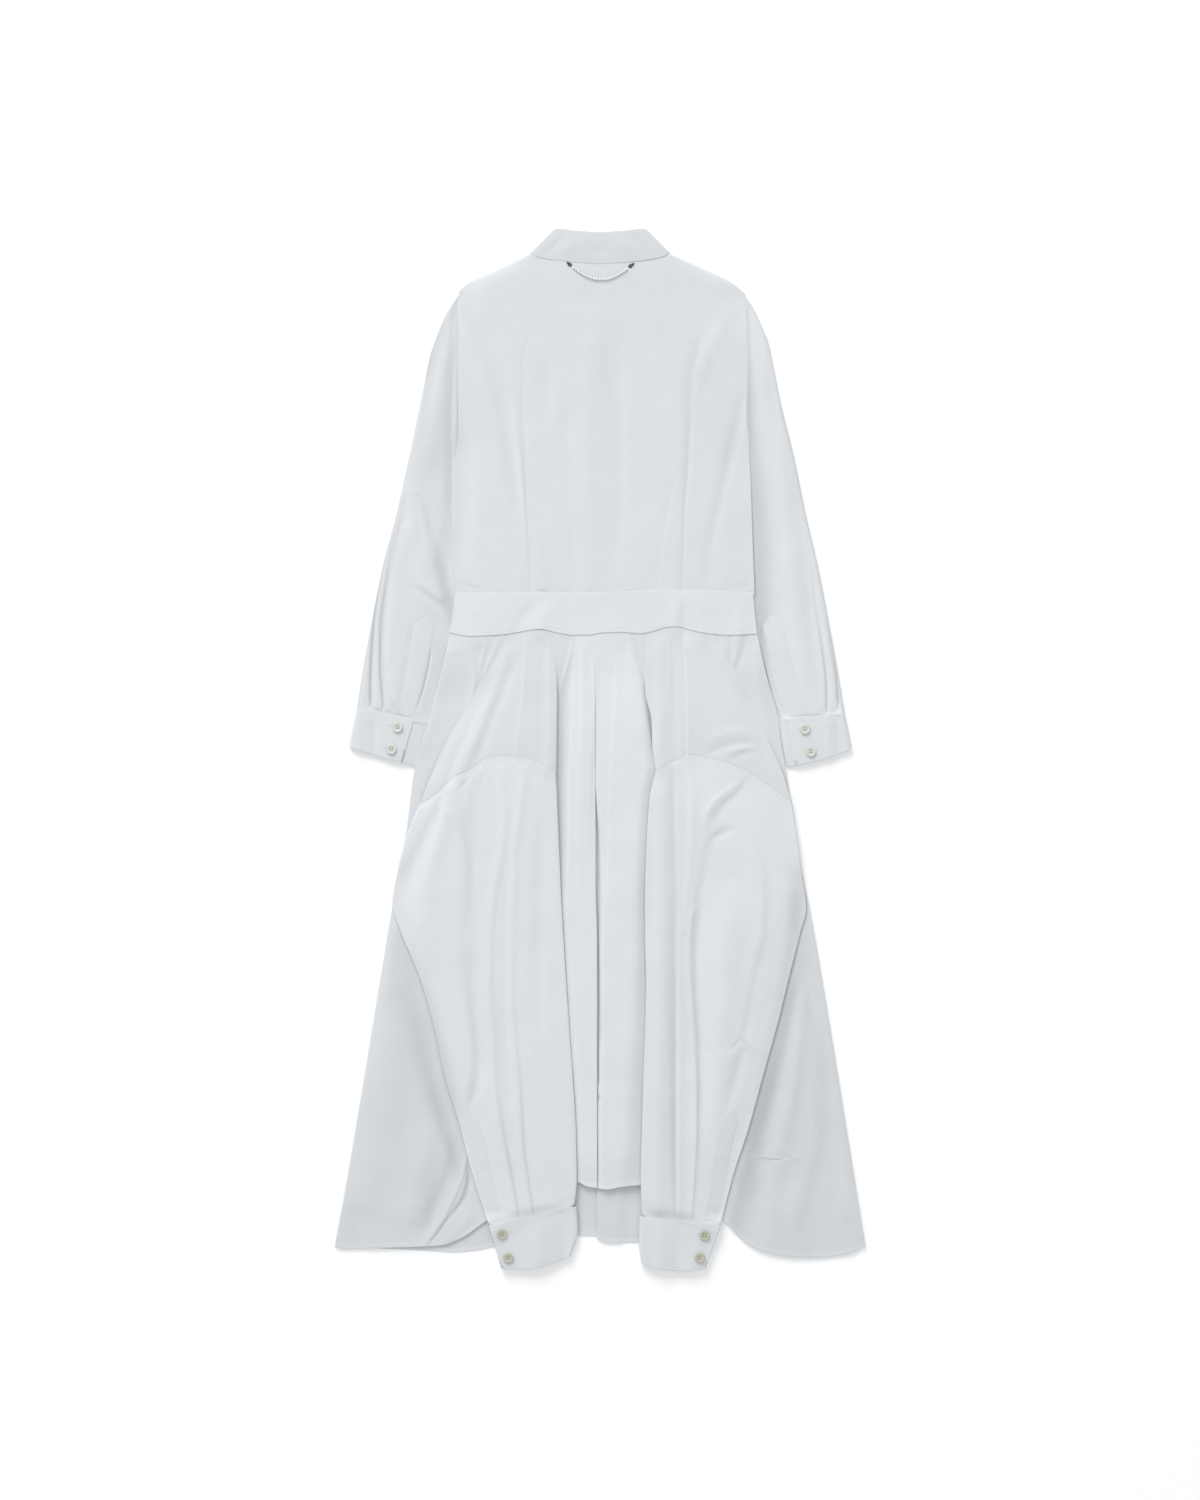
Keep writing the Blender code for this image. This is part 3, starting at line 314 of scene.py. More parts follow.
BACK_FOLDS = paths("""
left dart valley: -62 444 1.8 2 0, -70 417 1.8 2 -.2, -77 392 2 3 -.5, -77 350 2.6 4 -.8,
 -75.5 300 2.6 3 -1, -74.5 260 2.2 2 -1.3 .2, -73.5 230 1.7 1.5 -1.6 .3, -71.5 205 1.6 1.6 -1 .2,
 -69.5 158 1.6 1.6 -.4 .2;
left diagonal valley: -140 458 5 -.4, -130 430 8 -.9, -116 398 9 -1, -104 362 9 -1, -96 325 9 8 -1.1,
 -88 275 9 8 -1, -82 230 8 7 -.5, -79 205 7 6 0;
left dart ridge: -94 405 5 0, -88 370 6 5 .7, -85 325 6 4 1, -79 280 5 3 .9, -74 230 4 3 .6, -71 190 3 2 0;
under the pearls: -27.4 482.9 3 -.5, -22.4 478.9 2.6 -.8, -17 475.4 2.6 -.8, -11.2 472.7 2.6 -.8,
 -5.6 471 2.6 -.8, 0 470.2 2.6 -.8, 5.6 470.4 2.6 -.8, 11.2 471.9 2.6 -.8, 16.8 474.4 2.6 -.8,
 22.4 477.7 2.6 -.8, 27.4 481.6 3 -.5;
left dart intake: -64 230 3 5 0, -62 200 4 7 .5, -60 158 5 9 .8;
right dart valley: 102 425 5 4 0, 99 405 7 3 -.9, 92 375 8 3 -1.7, 89.5 350 8 3 -2, 88.5 320 8 3 -2.2,
 87 280 7 3 -1.9, 84.5 240 3 1.6 -1.8 .3, 83.5 220 2 1.5 -1.5 .3, 83 182 1.8 1.8 -.8 .3, 83 158 2 2 -.6 .3;
right dart shade: 76 280 4 3 0, 71 255 6 3 -.5, 65 225 7 3 -.6, 60 190 7 3 -.4, 57 162 6 3 -.2;
right dart intake: 78 230 5 3 0, 77 200 6 3 .5, 75 158 7 3 .8;
neck crease left: 49 452 3 0, 57 417 3 .35, 63 392 3 0;
neck crease right: 76 442 3 0, 88 425 3 -.4, 97 410 3 0;
right shoulder ridge: 134 450 8 0, 120 418 9 .6, 106 392 9 .8, 97 360 8 6 .5, 92 320 8 5 0;
left side trough: -138 370 9 0, -134 290 12 -.8, -138 210 12 -.7, -140 170 9 0;
right side shade: 148 365 8 0, 141 335 10 7 -1, 132 295 10 7 -1.1, 122 255 8 6 -.9, 111 210 7 6 -.8,
 104 162 6 -.3;
middle ridge: -8 450 14 0, -10 380 16 .7, -10 290 14 .8, -7 190 11 .5, -6 158 10 0;
left patch: -54 400 9 0, -53 365 12 11 -.9, -51 322 9 0;
trough left of the middle: -34 350 10 0, -33 310 9 8 -.8, -32 275 9 8 -.7, -27 210 8 7 -.7, -25 158 7 -.2;
trough right of the middle: 17 435 14 0, 18 390 16 14 -1, 19 320 13 10 -1.2, 19.5 260 10 8 -1,
 16 190 9 8 -.6, 15 158 8 0;
left waist pucker 1: -144 173 3 0, -130 169 2.6 .4, -114 162 2.4 0;
left waist pucker 2: -138 164 2 0, -126 162 2 -.3, -108 160 2 0;
right waist pucker 1: 141 175 2.4 0, 150 180 2.4 .4, 154 185 2.4 0;
right waist pucker 2: 128 160 2.2 0, 138 163 2.2 -.4, 150 162 2.2 -.2;
right waist pucker 3: 133 167 2.2 0, 145 170 2.4 .3, 153 172 2.2 .1;
""", 0.9, 0.4)
BAND_FOLDS = paths("""
left shade: -59 158 6 -.1, -70 142 7 -.6, -82 123 8 -.8, -86 110 8 -.8;
left hump: -52 154 9 .1, -56 135 11 .9, -59 110 12 1.1;
left crest shade: -40 152 5 -.1, -34 138 6 -.5, -28 110 8 -.7;
middle swell: 4 146 14 0, 4 125 16 .4, 4 108 18 .7;
right hump: 76 156 8 5 .2, 76 135 10 5 1.3, 77 110 12 6 1.5;
right crease: 82 156 2.5 3 -.6, 84 138 3 -1.5, 85 122 4 -1.2, 88 110 5 -.6;
right ridge: 94 152 4 5 .1, 99 135 5 6 .7, 103 110 6 7 .9;
right shade: 108 150 4 5 -.1, 114 135 4 5 -.8, 120 110 6 7 -.7;
left end swell: -122 150 14 .3, -120 108 16 1;
right end swell: 138 146 9 .2, 140 108 10 .8;
""", 0.9, 0.3)
SKIRT_LEFT_FOLDS = paths("""
gather 1: -141 120 4 2.2 2.4 .9, -133 106 4 2.2 2.4 .9, -128.6 98 4 2.2 2.2 .9, -125 85 4 2.4 1.8 .7,
 -127 60 5 3 1 .4, -130 30 6 4 0;
gather 2: -111 120 3 3 2.2 .6, -114 105 3 3 2.1 .6, -120 82 3.5 3 1.8 .5, -128 54 4 .9, -138 25 5 0;
gather 3: -97 120 2.6 3 1.8 .6, -104 104 3 3 1.6 .5, -114 80 3 3 1.2 .3, -124 58 4 0;
hem roll: -134 -406 3 2 .8, -137 -424 4 1.8 3.4, -142.5 -440 5 1.8 4.4, -149 -454 5.5 2 4.6,
 -157 -470 5.5 2.2 4.2, -166 -483 5 2.4 3.2, -172 -492 5 3 1.8;
hem roll trough: -153 -400 5 0, -156 -420 7 6 -1, -162 -442 8 6 -1.3, -169 -462 8 6 -1.3, -173 -478 7 5 -.9;
hem roll hollow: -132 -414 1.6 3 -1.2, -132 -430 2.2 4 -2.8, -136 -445 2.4 5 -3.2, -142 -457 2 4 -2.8,
 -151 -468 1.6 3 -2.2, -161 -482 1.6 2.4 -1.6, -169 -491 1.6 2 -.8;
hem beside the roll: -127 -455 5 0, -134 -470 6 .9, -144 -482 6 1, -154 -492 6 .6;
swell beside the roll: -175 -370 16 0, -180 -420 18 1.8, -186 -465 16 14 1.2;
lower left swell: -228 -230 20 0, -222 -330 26 24 1.2, -232 -450 24 20 .8;
corner shade: -240 -440 8 0, -242 -475 8 -.8, -244 -498 8 -1;
upper left ridge: -196 -130 8 7 0, -204 -170 8 7 1.2, -214 -235 10 8 .9, -222 -290 10 0;
left panel ridge: -17 110 5 1, -17 50 5 6 1.2, -20 -50 5 7 .7, -21 -150 5 7 .4, -15 -250 5 7 0;
left panel edge ridge: -27 116 2 3 1.4 1.2, -30.4 94.3 2 3 1.4 1.4, -37 72 2 4 1 1.6, -41 55 2 4 0;
beside the hanging sleeve: -208 -180 10 0, -192 -235 16 -.6, -176 -300 20 -.8, -162 -360 20 -.8,
 -152 -410 16 -.5;
broad outer swell: -212 -180 12 0, -210 -250 18 1.4, -208 -330 24 2.2, -202 -400 24 22 1.6, -198 -450 20 .6;
""", 1, 0.25)
SKIRT_RIGHT_FOLDS = paths("""
gather 1: 131 120 2 -2, 130.5 105 2 -2, 130 88 2.5 -1.4, 131 70 3 0;
gather 2: 137 120 2.6 1.6, 137 105 2.6 1.4, 135 88 3 .6;
gather 3: 146 120 3 -1.8, 142 95 3 3.4 -1.8, 134 76 4 -1.6, 140 55 6 5 -1, 152 20 8 7 -.4;
gather 4: 154 120 4 5 2, 157 90 6 7 2, 162 50 7 8 1.5, 170 10 8 .8, 182 -40 8 0;
gather 5: 122 118 2 2 1.6 .5, 124 100 2.4 2 1.2 .4, 127 88 3 2 0;
long ridge: 206 -190 9 8 0, 201 -260 11 8 2.2, 193 -339 13 9 2.6, 180 -391 15 12 2, 172 -457 15 14 1.2,
 168 -500 14 .5;
long trough: 206 -210 5 6 0, 211 -260 5 7 -1, 220 -326 6 9 -1.4, 226 -378 7 9 -1.3, 234 -417 8 9 -1.2,
 226 -455 9 -1.2, 220 -496 9 -.7;
outer ridge: 226 -260 6 0, 238 -330 8 7 1.2, 248 -400 9 7 1.3, 250 -465 9 7 .8;
small crease: 175 -389 2.4 0, 184 -401 2.4 2.4 .9 .5, 193 -409 2.4 2.4 .9 .5, 209 -407 2.4 0;
hem swell: 195 -430 14 0, 190 -465 18 1.6, 200 -496 18 .8;
centre right soft fold: 26 110 5 4 -.8, 22 50 6 -.5, 26 -10 6 0;
light triangle: 40 116 2.5 3 1.6, 43 95 2.4 2.6 1.5, 46 74 2 .8;
triangle gap: 46 118 1.6 -1.6, 47 95 1.6 -1.4, 48 82 1.6 0;
beside the hanging sleeve: 206 -180 10 0, 195 -235 14 -.6, 180 -300 16 -.8, 164 -360 16 -.8,
 152 -410 14 -.5;
""", 1, 0.25)
SHOULDER_LEFT_FOLDS = paths("""
outer ridge: -88 110 5 0, -100 76.4 7 1.4, -123.2 12 8 7 1.9, -137.5 -16 8 7 1.9, -148 -46 8 7 1.6,
 -160 -70 8 7 1.2;
outer shade: -82 100 6 0, -89 78 7 6 -1, -100 50 7 -1.6, -114.3 16 8 7 -1.8, -124 -16 8 7 -1.6,
 -130 -40 7 -1.2;
edge shade: -120 50 4 0, -132.1 19.3 5 6 -1, -141 1.36 6 -1.4, -152 -30.7 6 -1.6, -168 -72 6 -1.6;
pleat: -73.2 120 1.8 6 1.1, -75.5 90 1.8 6 1.1, -77 59 1.8 6 1, -82.1 16 1.8 6 1, -84 -7 1.8 7 1.2;
inner shade: -59 120 6 -.6, -57 59 6 -.9, -59 -10 7 -.6;
inner ridge: -50 110 5 3 .5, -50 50 5 3 .6, -51 -20 6 4 .6;
""", 0.7, 0.15)
SHOULDER_RIGHT_FOLDS = paths("""
inner ridge: 59 120 6 7 1.4, 61 50 7 8 1.9, 58 -20 8 1.6;
inner shade: 71 110 5 4 -.4, 75 60 6 4 -1.1, 75 -10 6 4 -1.4;
narrow ridge: 70 114 2.5 3 .6, 69 60 2.5 3 .5, 67 10 3 0;
pleat: 84.6 122 1.5 16 1.6 1.4, 86 90 1.5 16 1.8 1.5, 87.3 59 1.5 18 1.9 1.6, 87.9 20 1.5 16 1.8 1.6,
 88.24 -7 1.5 12 1.6 1.4;
upper soft shade: 97 118 4 0, 108 98 6 -.8, 122 66 7 -.5, 130 46 7 0;
edge ridge: 116 110 5 4 .6, 138 60 7 5 1.2, 157 20 7 5 1.2, 176 -25 7 5 .8;
seam shade upper: 106 -6 3 0, 116 -.5 3.6 -1.5, 128 5 3.6 -1.7, 144 7.4 3.2 -1.4, 154 6 3 0;
seam ridge: 104 6 5 0, 122 15 6 1.3, 142 18 6 1.4, 156 12 5 .6;
seam shade lower: 128 -13 3 0, 136 -7 4 -1.7, 146 -3 4 -1.7, 157 0 3 0;
seam ridge lower: 122 -7 2.6 0, 134 -.5 2.6 .9, 150 1.8 2.6 .9, 160 1 2.6 0;
elbow shade: 157 16 3 4 0, 162 2 3 4 -1.1, 168.6 -18 3.4 4 -1, 173 -34 4 0;
""", 0.8, 0.12)
HUNG_LEFT_FOLDS = paths("""
wide trough: -137 -36 4 6 -1.2, -134 -84 6 7 -2.2, -128.6 -120 7 -2.2, -131 -164 7 -2, -135 -210 6 7 -2,
 -133 -235 6 7 -1.8, -127.6 -255.5 5 7 -1.9, -123.6 -287 5 7 -2, -121 -323 5 7 -2, -126 -347 5 6 -1.2,
 -132 -358 4 0;
seam crease: -142 -40 2 2.4 0, -136 -34 2 2.6 -1.6, -128 -26 2 2.6 -1.2;
first pleat: -101 -12 5 4 1, -99 -31 6 5 1.2, -95 -66 7 5 1.3, -98 -102 8 4 1.5, -103 -130 8 3.6 1.7,
 -108 -169 9 3.2 1.8, -110 -234.5 9 3.2 1.8, -107 -287 9 3 1.8, -105 -334 8 2.6 1.8 .3,
 -99 -376 8 2.2 1.9 .7, -91 -417.5 7 2 1.9 .9, -82.5 -466 6 1.8 1.6 1;
second pleat: -80 -11 5 4 1.2, -77 -31 5 4 1.4, -80.4 -66 6 4 1.4, -85 -102 6 4 1.4, -85.36 -130 6 4 1.4,
 -88 -182 6 3.6 1.4, -88 -242 6 3 1.5, -84.1 -297 6 2.6 1.6 .2, -80.24 -339 6 2.4 1.6 .4,
 -77.6 -391 6 2.2 1.6 .8, -72.4 -431 6 2 1.7 .9, -67.2 -463 5 1.8 1.5 1;
between the pleats: -92 -110 3 0, -95 -180 4 -1, -95 -250 4 -1, -92 -330 4 -.8, -86 -390 4 0;
inner shade: -59 -50 8 0, -59 -130 9 -.9, -62 -242 9 -.8, -55 -340 9 0;
outer diagonal: -152 -30.7 6 -1.6, -163 -62 7 -1.9, -173.2 -84 7 8 -1.9, -189.3 -120 7 8 -1.6,
 -198 -150 7 8 -1, -202 -175 7 8 0;
outer ridge: -154 -65 6 8 .6, -162 -95 8 10 1.2, -174 -135 10 12 1.3, -176 -180 9 12 .7, -172 -230 9 12 0;
faint crease: -177 -138 2.5 0, -175 -155 2.6 -.7, -174 -180 3 -.5, -168 -218 4 -.6, -162 -250 4 0;
outer edge ridge: -154 -270 5 6 0, -148 -310 5 6 .9, -141 -350 5 6 .9, -134 -368 4 0;
seam gather 1: -169 -52 2 .5, -166 -62 2.2 .7, -166 -76 3 0;
seam gather 2: -159 -46 2 .7, -156 -58 2.4 .6, -155 -72 3 0;
seam gather 3: -118 -14 1.8 .7, -121 -28 2.2 .6, -124 -44 3 0;
seam gather 4: -109 -9 1.6 .8, -110 -20 2 .6, -112 -34 3 0;
seam gather 5: -91 -8 1.6 .7, -91 -17 2 .5, -92 -28 2.6 0;
seam gather 6: -69 -12 2 -.6, -68 -26 2.4 -.4, -67 -40 3 0;
seam gather 7: -57 -16 2 .5, -55 -28 2.4 .4, -54 -42 3 0;
""", 1.1, 0.12)
HUNG_RIGHT_FOLDS = paths("""
inner ridge: 61 -12 7 8 1.2, 61 -100 9 2.2, 61 -250 10 2.6, 58 -350 10 11 2.4, 57 -466 9 11 1.8;
inner shade: 74 -14 6 3 -1.2, 74 -130 7 3 -1.2, 74 -260 7 3 -1.2, 75 -380 7 3 -1, 73 -466 6 3 -.6;
strip ridge: 90 -10 4 6 1.6, 92 -50 4 7 2, 90 -100 4 7 2, 86 -150 3 6 1.4, 84 -180 3 5 .8;
strip left edge: 78.64 -50 2.4 5 0, 79 -100 2.6 6 .7, 79 -130 2.4 6 1.2 .4, 79.5 -260 2 6 1.5 1,
 79.5 -380 1.8 6 1.6 1.2, 78.4 -466 1.8 6 1.4 1;
strip right edge: 104.5 -135 5 4 0, 97 -155 5 3 .8 .2, 91.76 -169 5 2.4 1.1 .5, 88.5 -208 6 2.2 1.3 .8,
 90.5 -235 6 2 1.4 .9, 93.36 -260.7 6 2 1.4 1, 96.3 -287 6 1.8 1.4 1, 96.6 -339 7 1.8 1.4 1.1,
 96.5 -378 7 1.8 1.4 1.1, 94.4 -417.5 6 1.6 1.4 1, 91.5 -468 5 1.5 1.3 1;
valley beside the strip: 105 -150 4 5 0, 99 -175 3 7 -1.2, 96 -210 3 8 -1.3, 99 -260 3 8 -1.3,
 102 -310 3 8 -1, 102 -360 3 7 -.6, 100 -400 3 5 0;
strip kink: 82 -269 1.6 0, 86 -275 1.6 -.7, 90 -280 1.6 0;
upper crease: 150 -21 2 3 -1.2, 144 -33 2.4 4 -2.2, 137 -42 3 4.6 -2.4, 118.64 -59 3.4 5 -2.3,
 111.4 -72 3.4 5 -1.7, 109 -84 4 5 -.6;
upper crease ridge: 142 -28 3 2.4 0, 131 -38 3.4 2.6 1, 113 -53 4 3 1.1, 105 -67 4 3 .7, 102 -80 4 3 0;
lower crease: 135 -76 3 4 0, 126 -82 3.4 4.6 -1.8, 112 -88 4 5 -2.3, 106 -102 4 6 -2.2, 101 -130 4 6 -1.6,
 98 -155 4 5 -1;
crease block: 122 -62 4 5 0, 122 -74 5 6 1.2, 116 -81 4 .6;
outer soft crease: 154 -86 4 5 0, 165 -111 4 6 -.9, 167 -150 4 7 -1, 167 -180 5 7 -1.1, 158 -215 5 8 -1.2,
 150 -250 5 8 -1.2, 146 -282 4 6 -1;
wide swell: 128 -130 16 0, 124 -190 20 1.8, 122 -260 18 1.8, 118 -330 12 1.2, 114 -390 8 0;
elbow star 1: 142 -288 1.8 2 1 .4, 137 -280 1.8 2 .9 .3, 131 -271 2 0;
elbow star 2: 142 -288 1.8 1.8 1 .4, 150 -293 2 2 .9 .3, 160 -302 2.4 0;
elbow star 3: 142 -289 2 -1, 136 -294 2 2.4 -1, 129 -304 3 0;
placket shade: 144 -296 5 6 0, 140 -312 7 -1.4, 134 -335 7 -1.5, 128 -354 5 -.6;
outer edge ridge: 190 -130 7 5 0, 188 -180 8 6 1, 178 -240 8 6 1, 164 -300 7 6 .9, 150 -355 6 5 .6;
seam gather 1: 134 -10 1.8 .7, 136 -19 2 .6, 135 -30 2.4 0;
seam gather 2: 141 -15 1.6 1.8 -.9, 141 -24 1.8 2 -.7, 139 -33 2.2 0;
seam gather 3: 149 -19 1.8 .9, 148 -28 2 .6, 146 -38 2.6 0;
seam gather 4: 104 -10 2 .5, 105 -20 2.4 .4, 105 -34 3 0;
seam gather 5: 116 -11 2 -.5, 117 -20 2.2 -.4, 117 -30 3 0;
seam gather 6: 165 -35 2 .5, 166 -45 2.4 .4, 167 -58 3 0;
""", 1.05, 0.14)
SLEEVE_LEFT_FOLDS = paths("""
slit 1: -197 249 2 0, -209 218.4 2 2 0 1, -219.2 177.6 1.8 1.8 0 2, -224.3 143.6 1.5 1.5 0 2.833,
 -228.2 103 1.3 1.3 0 2.5, -229.6 60 1.1 1.1 0 3.667, -229.4 43 1 1 0 3.667;
slit 2: -204 220 3 0, -209 194 2.6 2.6 0 1.5, -215.5 152 2.2 2.2 0 2.5, -219 120 1.9 1.9 0 3,
 -219.5 79 1.5 1.5 0 3.333, -217 50 1.2 1.2 0 3.667, -216.5 41 1 1 0 3.667;
slit 3: -214 74 1.6 0, -211 58 1.3 1.3 0 .8333, -207 39 1.1 1.1 0 2;
between the slits: -220 160 2 .3, -223.2 110 3 .8, -223 60 5 1.4, -222.5 42 5 1.2;
roll: -196 220 7 10 .5, -207 160 6 12 1.3, -210 100 5 12 1.5, -206 50 5 9 1;
outer roll: -208 250 6 0, -222 190 4 .8, -231 130 4 1, -236 60 5 4 1, -237 42 5 4 .6;
elbow hook: -197 257 3 2 0, -189 259.5 5 2.2 .6, -183 256.5 6 2.2 .9, -178.5 246 6 2.6 .9, -174 232 6 4 .5,
 -172 220 5 0;
elbow crease: -176 242 4 5 0, -170 225 6 -.6, -162 203 8 7 -1.1, -154 175 9 7 -1.6, -151 150 9 7 -2.2,
 -148 128 8 7 -1.8, -148 110 5 6 -.6;
inner elbow crease: -185 245 3 0, -182 230 4 -.6, -179 205 4 5 -.6, -176 190 4 0;
pocket crease: -190 166 3 4 0, -180 158 4 5 -.8, -168 149 4 5 -1.2, -154 138 4 5 -1.5, -148 128 4 5 -.8;
pocket ridge: -185 170 3 0, -172 161 4 .8, -158 151 4 .7;
long swell: -168 380 12 0, -176 320 13 14 1, -184 270 10 14 1, -192 190 8 14 0;
armhole shade: -144 450 5 3 0, -146 420 6 3 -.8, -148 350 6 3 -1.2, -149 280 7 4 -1.4, -150 210 8 5 -1.2,
 -152 170 8 6 -.6;
crown shade: -144.5 454 2 3 -.4, -145.5 435 2.4 3 -1.2, -148 415 3 -.5;
upper swell: -148 428 5 0, -155 390 8 7 .8, -160 330 9 8 .9, -163 280 8 0;
upper diagonal: -157 415 7 0, -166 378 8 -.7, -172 330 8 -.6, -180 295 7 0;
beside the placket: -186 130 3 0, -190 105 3.6 -.8, -195 70 3.6 -.7, -200 44 3 0;
slit of the placket: -168.5 102 1.2 0, -169.36 95 1 1 0 3, -172.5 78 1 1 0 3.333, -177.5 58 1 1 0 3.333,
 -180 49 1 1 0 2, -181.5 43 1 1 0 1.333;
""", 1.3, 0.6)
SLEEVE_RIGHT_FOLDS = paths("""
slit 1: 206 230 3 0, 212 185 2.4 2.4 0 .6667, 217 139 1.8 1.8 0 1.333, 221.6 110 1.5 1.5 0 1.5,
 225 86 1.2 1.2 0 1.833, 227 60 1.1 1.1 0 2.5, 227 38 1 1 0 3;
slit 2: 221 160 2 0, 227.6 127 1.8 1.8 0 1.5, 232 100 1.5 1.5 0 2.667, 236.4 77 1.3 1.3 0 3.667,
 238 58 1.2 1.2 0 4, 238.8 42 1 1 0 3.667;
strip between: 215 190 3 0, 223 135 3 .7, 229 95 3.5 3 1, 233 60 4 3.4 1.2, 233 42 4 3.4 1;
outer sliver: 238 90 1.6 2.4 0, 240.5 70 1.5 2.6 .8, 242 44 1.4 2.6 .8;
beside the line: 196 250 8 6 0, 204 190 8 5 -.6, 211 130 8 4 -.9, 217 80 8 4 -.9, 220 50 6 3 -.5;
armhole shade: 147 454 2 4 0, 148.5 430 2 6 -1.2, 150 380 3 9 -1.1, 151 330 3 13 -1.3, 153 270 4 17 -1.9,
 155 190 4 20 -2.2, 157 130 4 18 -1.7, 160 90 6 8 -.6;
long swell: 172 400 10 12 0, 181 330 11 14 1, 188 230 11 14 1.4, 195 150 11 12 1.3, 206 70 8 9 .7;
kink 1: 223 51 1.8 1.6 0, 224 45 2 1.6 -.6 .5, 225 38 2 1.6 -.6 .8;
kink 2: 216 47 2 0, 220 42 2 -.5, 222 37 2 -.4;
crown shade: 150 450 6 0, 156 410 8 7 -.7, 163 370 7 0;
crown ridge: 154 445 4 0, 165 405 5 .8, 174 360 6 0;
slit of the placket: 160.8 126 1.2 0, 161.6 118 1 1 0 3, 166 95 1 1 0 3.667, 176 60 1 1 0 3.667,
 183 42 1 1 0 3.333, 188 31 1 1 0 2.333;
""", 0.9, 0.6)
CUFF_LEFT_FOLDS = paths("""
trough: -225 38 4 5 0, -226 22 6 -1.2, -226 -7 6 7 -1.3;
swell: -240 38 5 .4, -242 2 6 .9;
""", 1, 0.3)
CUFF_RIGHT_FOLDS = paths("""
trough: 238 45 4 -.4, 238 25 5 6 -1, 239 -2 5 7 -1.2;
ridge: 228 42 4 .5, 229 20 5 .8, 228 -7 5 .6;
""", 1, 0.3)
HUNG_CUFF_LEFT_FOLDS = paths("""
swell: -65 -462 10 12 .4, -62 -490 12 14 1.2, -64 -522 12 14 1.6;
right shade: -40 -458 6 8 -.2, -38 -490 6 8 -1, -37 -512 6 8 -1.4;
""", 1, 0.3)
HUNG_CUFF_RIGHT_FOLDS = paths("""
swell: 60 -466 9 10 .5, 60 -495 10 12 1.4, 60 -522 10 12 1.6;
shade: 80 -470 5 6 -.2, 78 -495 6 7 -.8, 76 -522 6 7 -1;
right swell: 100 -472 6 .2, 97 -495 7 .8, 92 -522 7 .8;
""", 1, 0.3)
COLLAR_FOLDS = paths("""
left diagonal: -34 516 3 4 0, -42 507 4 5 -.6, -51 498 5 -.4;
left ridge: -20 515 4 5 0, -27 507 5 6 .5, -34 500 5 6 .3;
right diagonal: 32 516 4 0, 40 507 5 4 -.6, 48 499 5 -.3;
right ridge: 18 514 5 0, 24 507 5 .5, 30 500 5 .3;
middle: -2 510 8 0, 0 500 9 -.4;
""", 1, 0.3)
FRONT_FOLDS = paths("""
left bodice fold: -80 420 8 0, -88 330 9 1, -92 230 9 .9, -95 165 7 0;
right bodice fold: 76 420 8 0, 86 320 9 1, 90 210 8 .8, 92 165 7 0;
left skirt fold: -60 90 7 0, -80 -50 10 1.2, -95 -230 12 1.2, -100 -370 12 0;
left outer fold: -130 70 7 0, -160 -100 10 1, -195 -290 12 1.2, -215 -450 10 0;
right skirt fold: 60 90 7 0, 82 -70 10 1.2, 112 -250 12 1.3, 135 -400 11 .9, 142 -475 10 0;
right outer fold: 130 60 7 0, 160 -110 10 1, 195 -290 12 1.2, 212 -450 10 0;
""", 1, 0.3)
# Painted shade, and a little painted light: soft bands along creases, edges and hollows, where each path
# holds an amount of tone instead of a height.
BACK_SHADES = paths("""
right dart: 102 420 3 -.2, 99 400 5 3 -.7, 92 360 6 2.2 -1.3, 89 310 5 1.8 -1.9, 87 275 4 1.6 -1.6,
 84 240 2 1.2 -1.2, 83.5 220 1.6 1.2 -1, 83 185 1.6 1.4 -.3;
left dart: -76 310 2.4 3 -.4, -74.5 260 1.8 1.6 -.7, -73.5 230 1.2 -1.3, -71.5 205 1.2 -.7, -70 175 1.4 0;
left strip: -90 380 4 0, -85 320 4 .6, -81 270 4 3 .5, -76 190 3 2 0;
right side: 142 365 6 5 -.2, 132 320 6 5 -.7, 120 260 7 5 -1, 110 210 7 5 -.5, 104 170 7 5 -.3;
left diagonal: -134 440 6 -.2, -116 398 8 -.4, -103 355 8 -.5, -94 310 8 7 -.5, -86 250 7 6 -.5;
""")
SLEEVE_LEFT_SHADES = paths("""
armhole: -145 440 2 -1, -145 415 2.4 2 -.6, -149 360 4 3 -.7, -151 320 5 4 -1.1, -152 260 5 -.7,
 -153 230 5 -.4;
pocket: -156 230 4 5 -.2, -161 205 6 -1, -163 190 6 7 -2.2, -157 170 8 -2, -150 150 9 6 -3,
 -148 135 8 6 -2.2, -150 118 6 -.6;
hook: -195 256 3 2 -.5, -187 259.5 3 2 -.8, -180 254 3 2.4 -1.1, -175 241 3.4 3 -1.1, -171 222 4 -.8,
 -167 205 4 -.5;
inner line: -196 252 2.4 -.6, -200 230 2.6 -1.3, -208 190 2.8 -2.2, -215.5 150 2.6 -2.8, -219 100 2.4 -2.6,
 -218 60 2.2 -2, -216.5 43 1.8 -.8;
outer line: -212 210 2 -1, -219 178 2 -1.8, -224 144 2 -2.6, -228 100 2 -3.4, -229.5 60 1.8 -2.8,
 -229.4 44 1.5 -1.5;
""")
# The band beside the body is the painted shadow of the shirt body's edge on this sleeve.
SLEEVE_RIGHT_SHADES = paths("""
beside the body: 146 450 3 -1, 146.5 410 3 5 -2.2, 147.5 360 4 9 -2.9, 148.5 310 4 11 -3.4,
 152 270 5 15 -3.5, 157 230 8 16 -3.4, 160 190 10 16 -3.5, 159 130 10 16 -4.2, 160 100 9 12 -3.2,
 164 70 6 8 -1.8, 168 50 5 6 -.5;
outer line: 227 130 2 -1.2, 232 100 2 -2.4, 236 75 2 -3.4, 238.5 50 2 -2.4;
inner line: 217 139 2 -.8, 222 105 2 -1.8, 226 70 2 -2.4, 227 45 2 -1.8;
""")
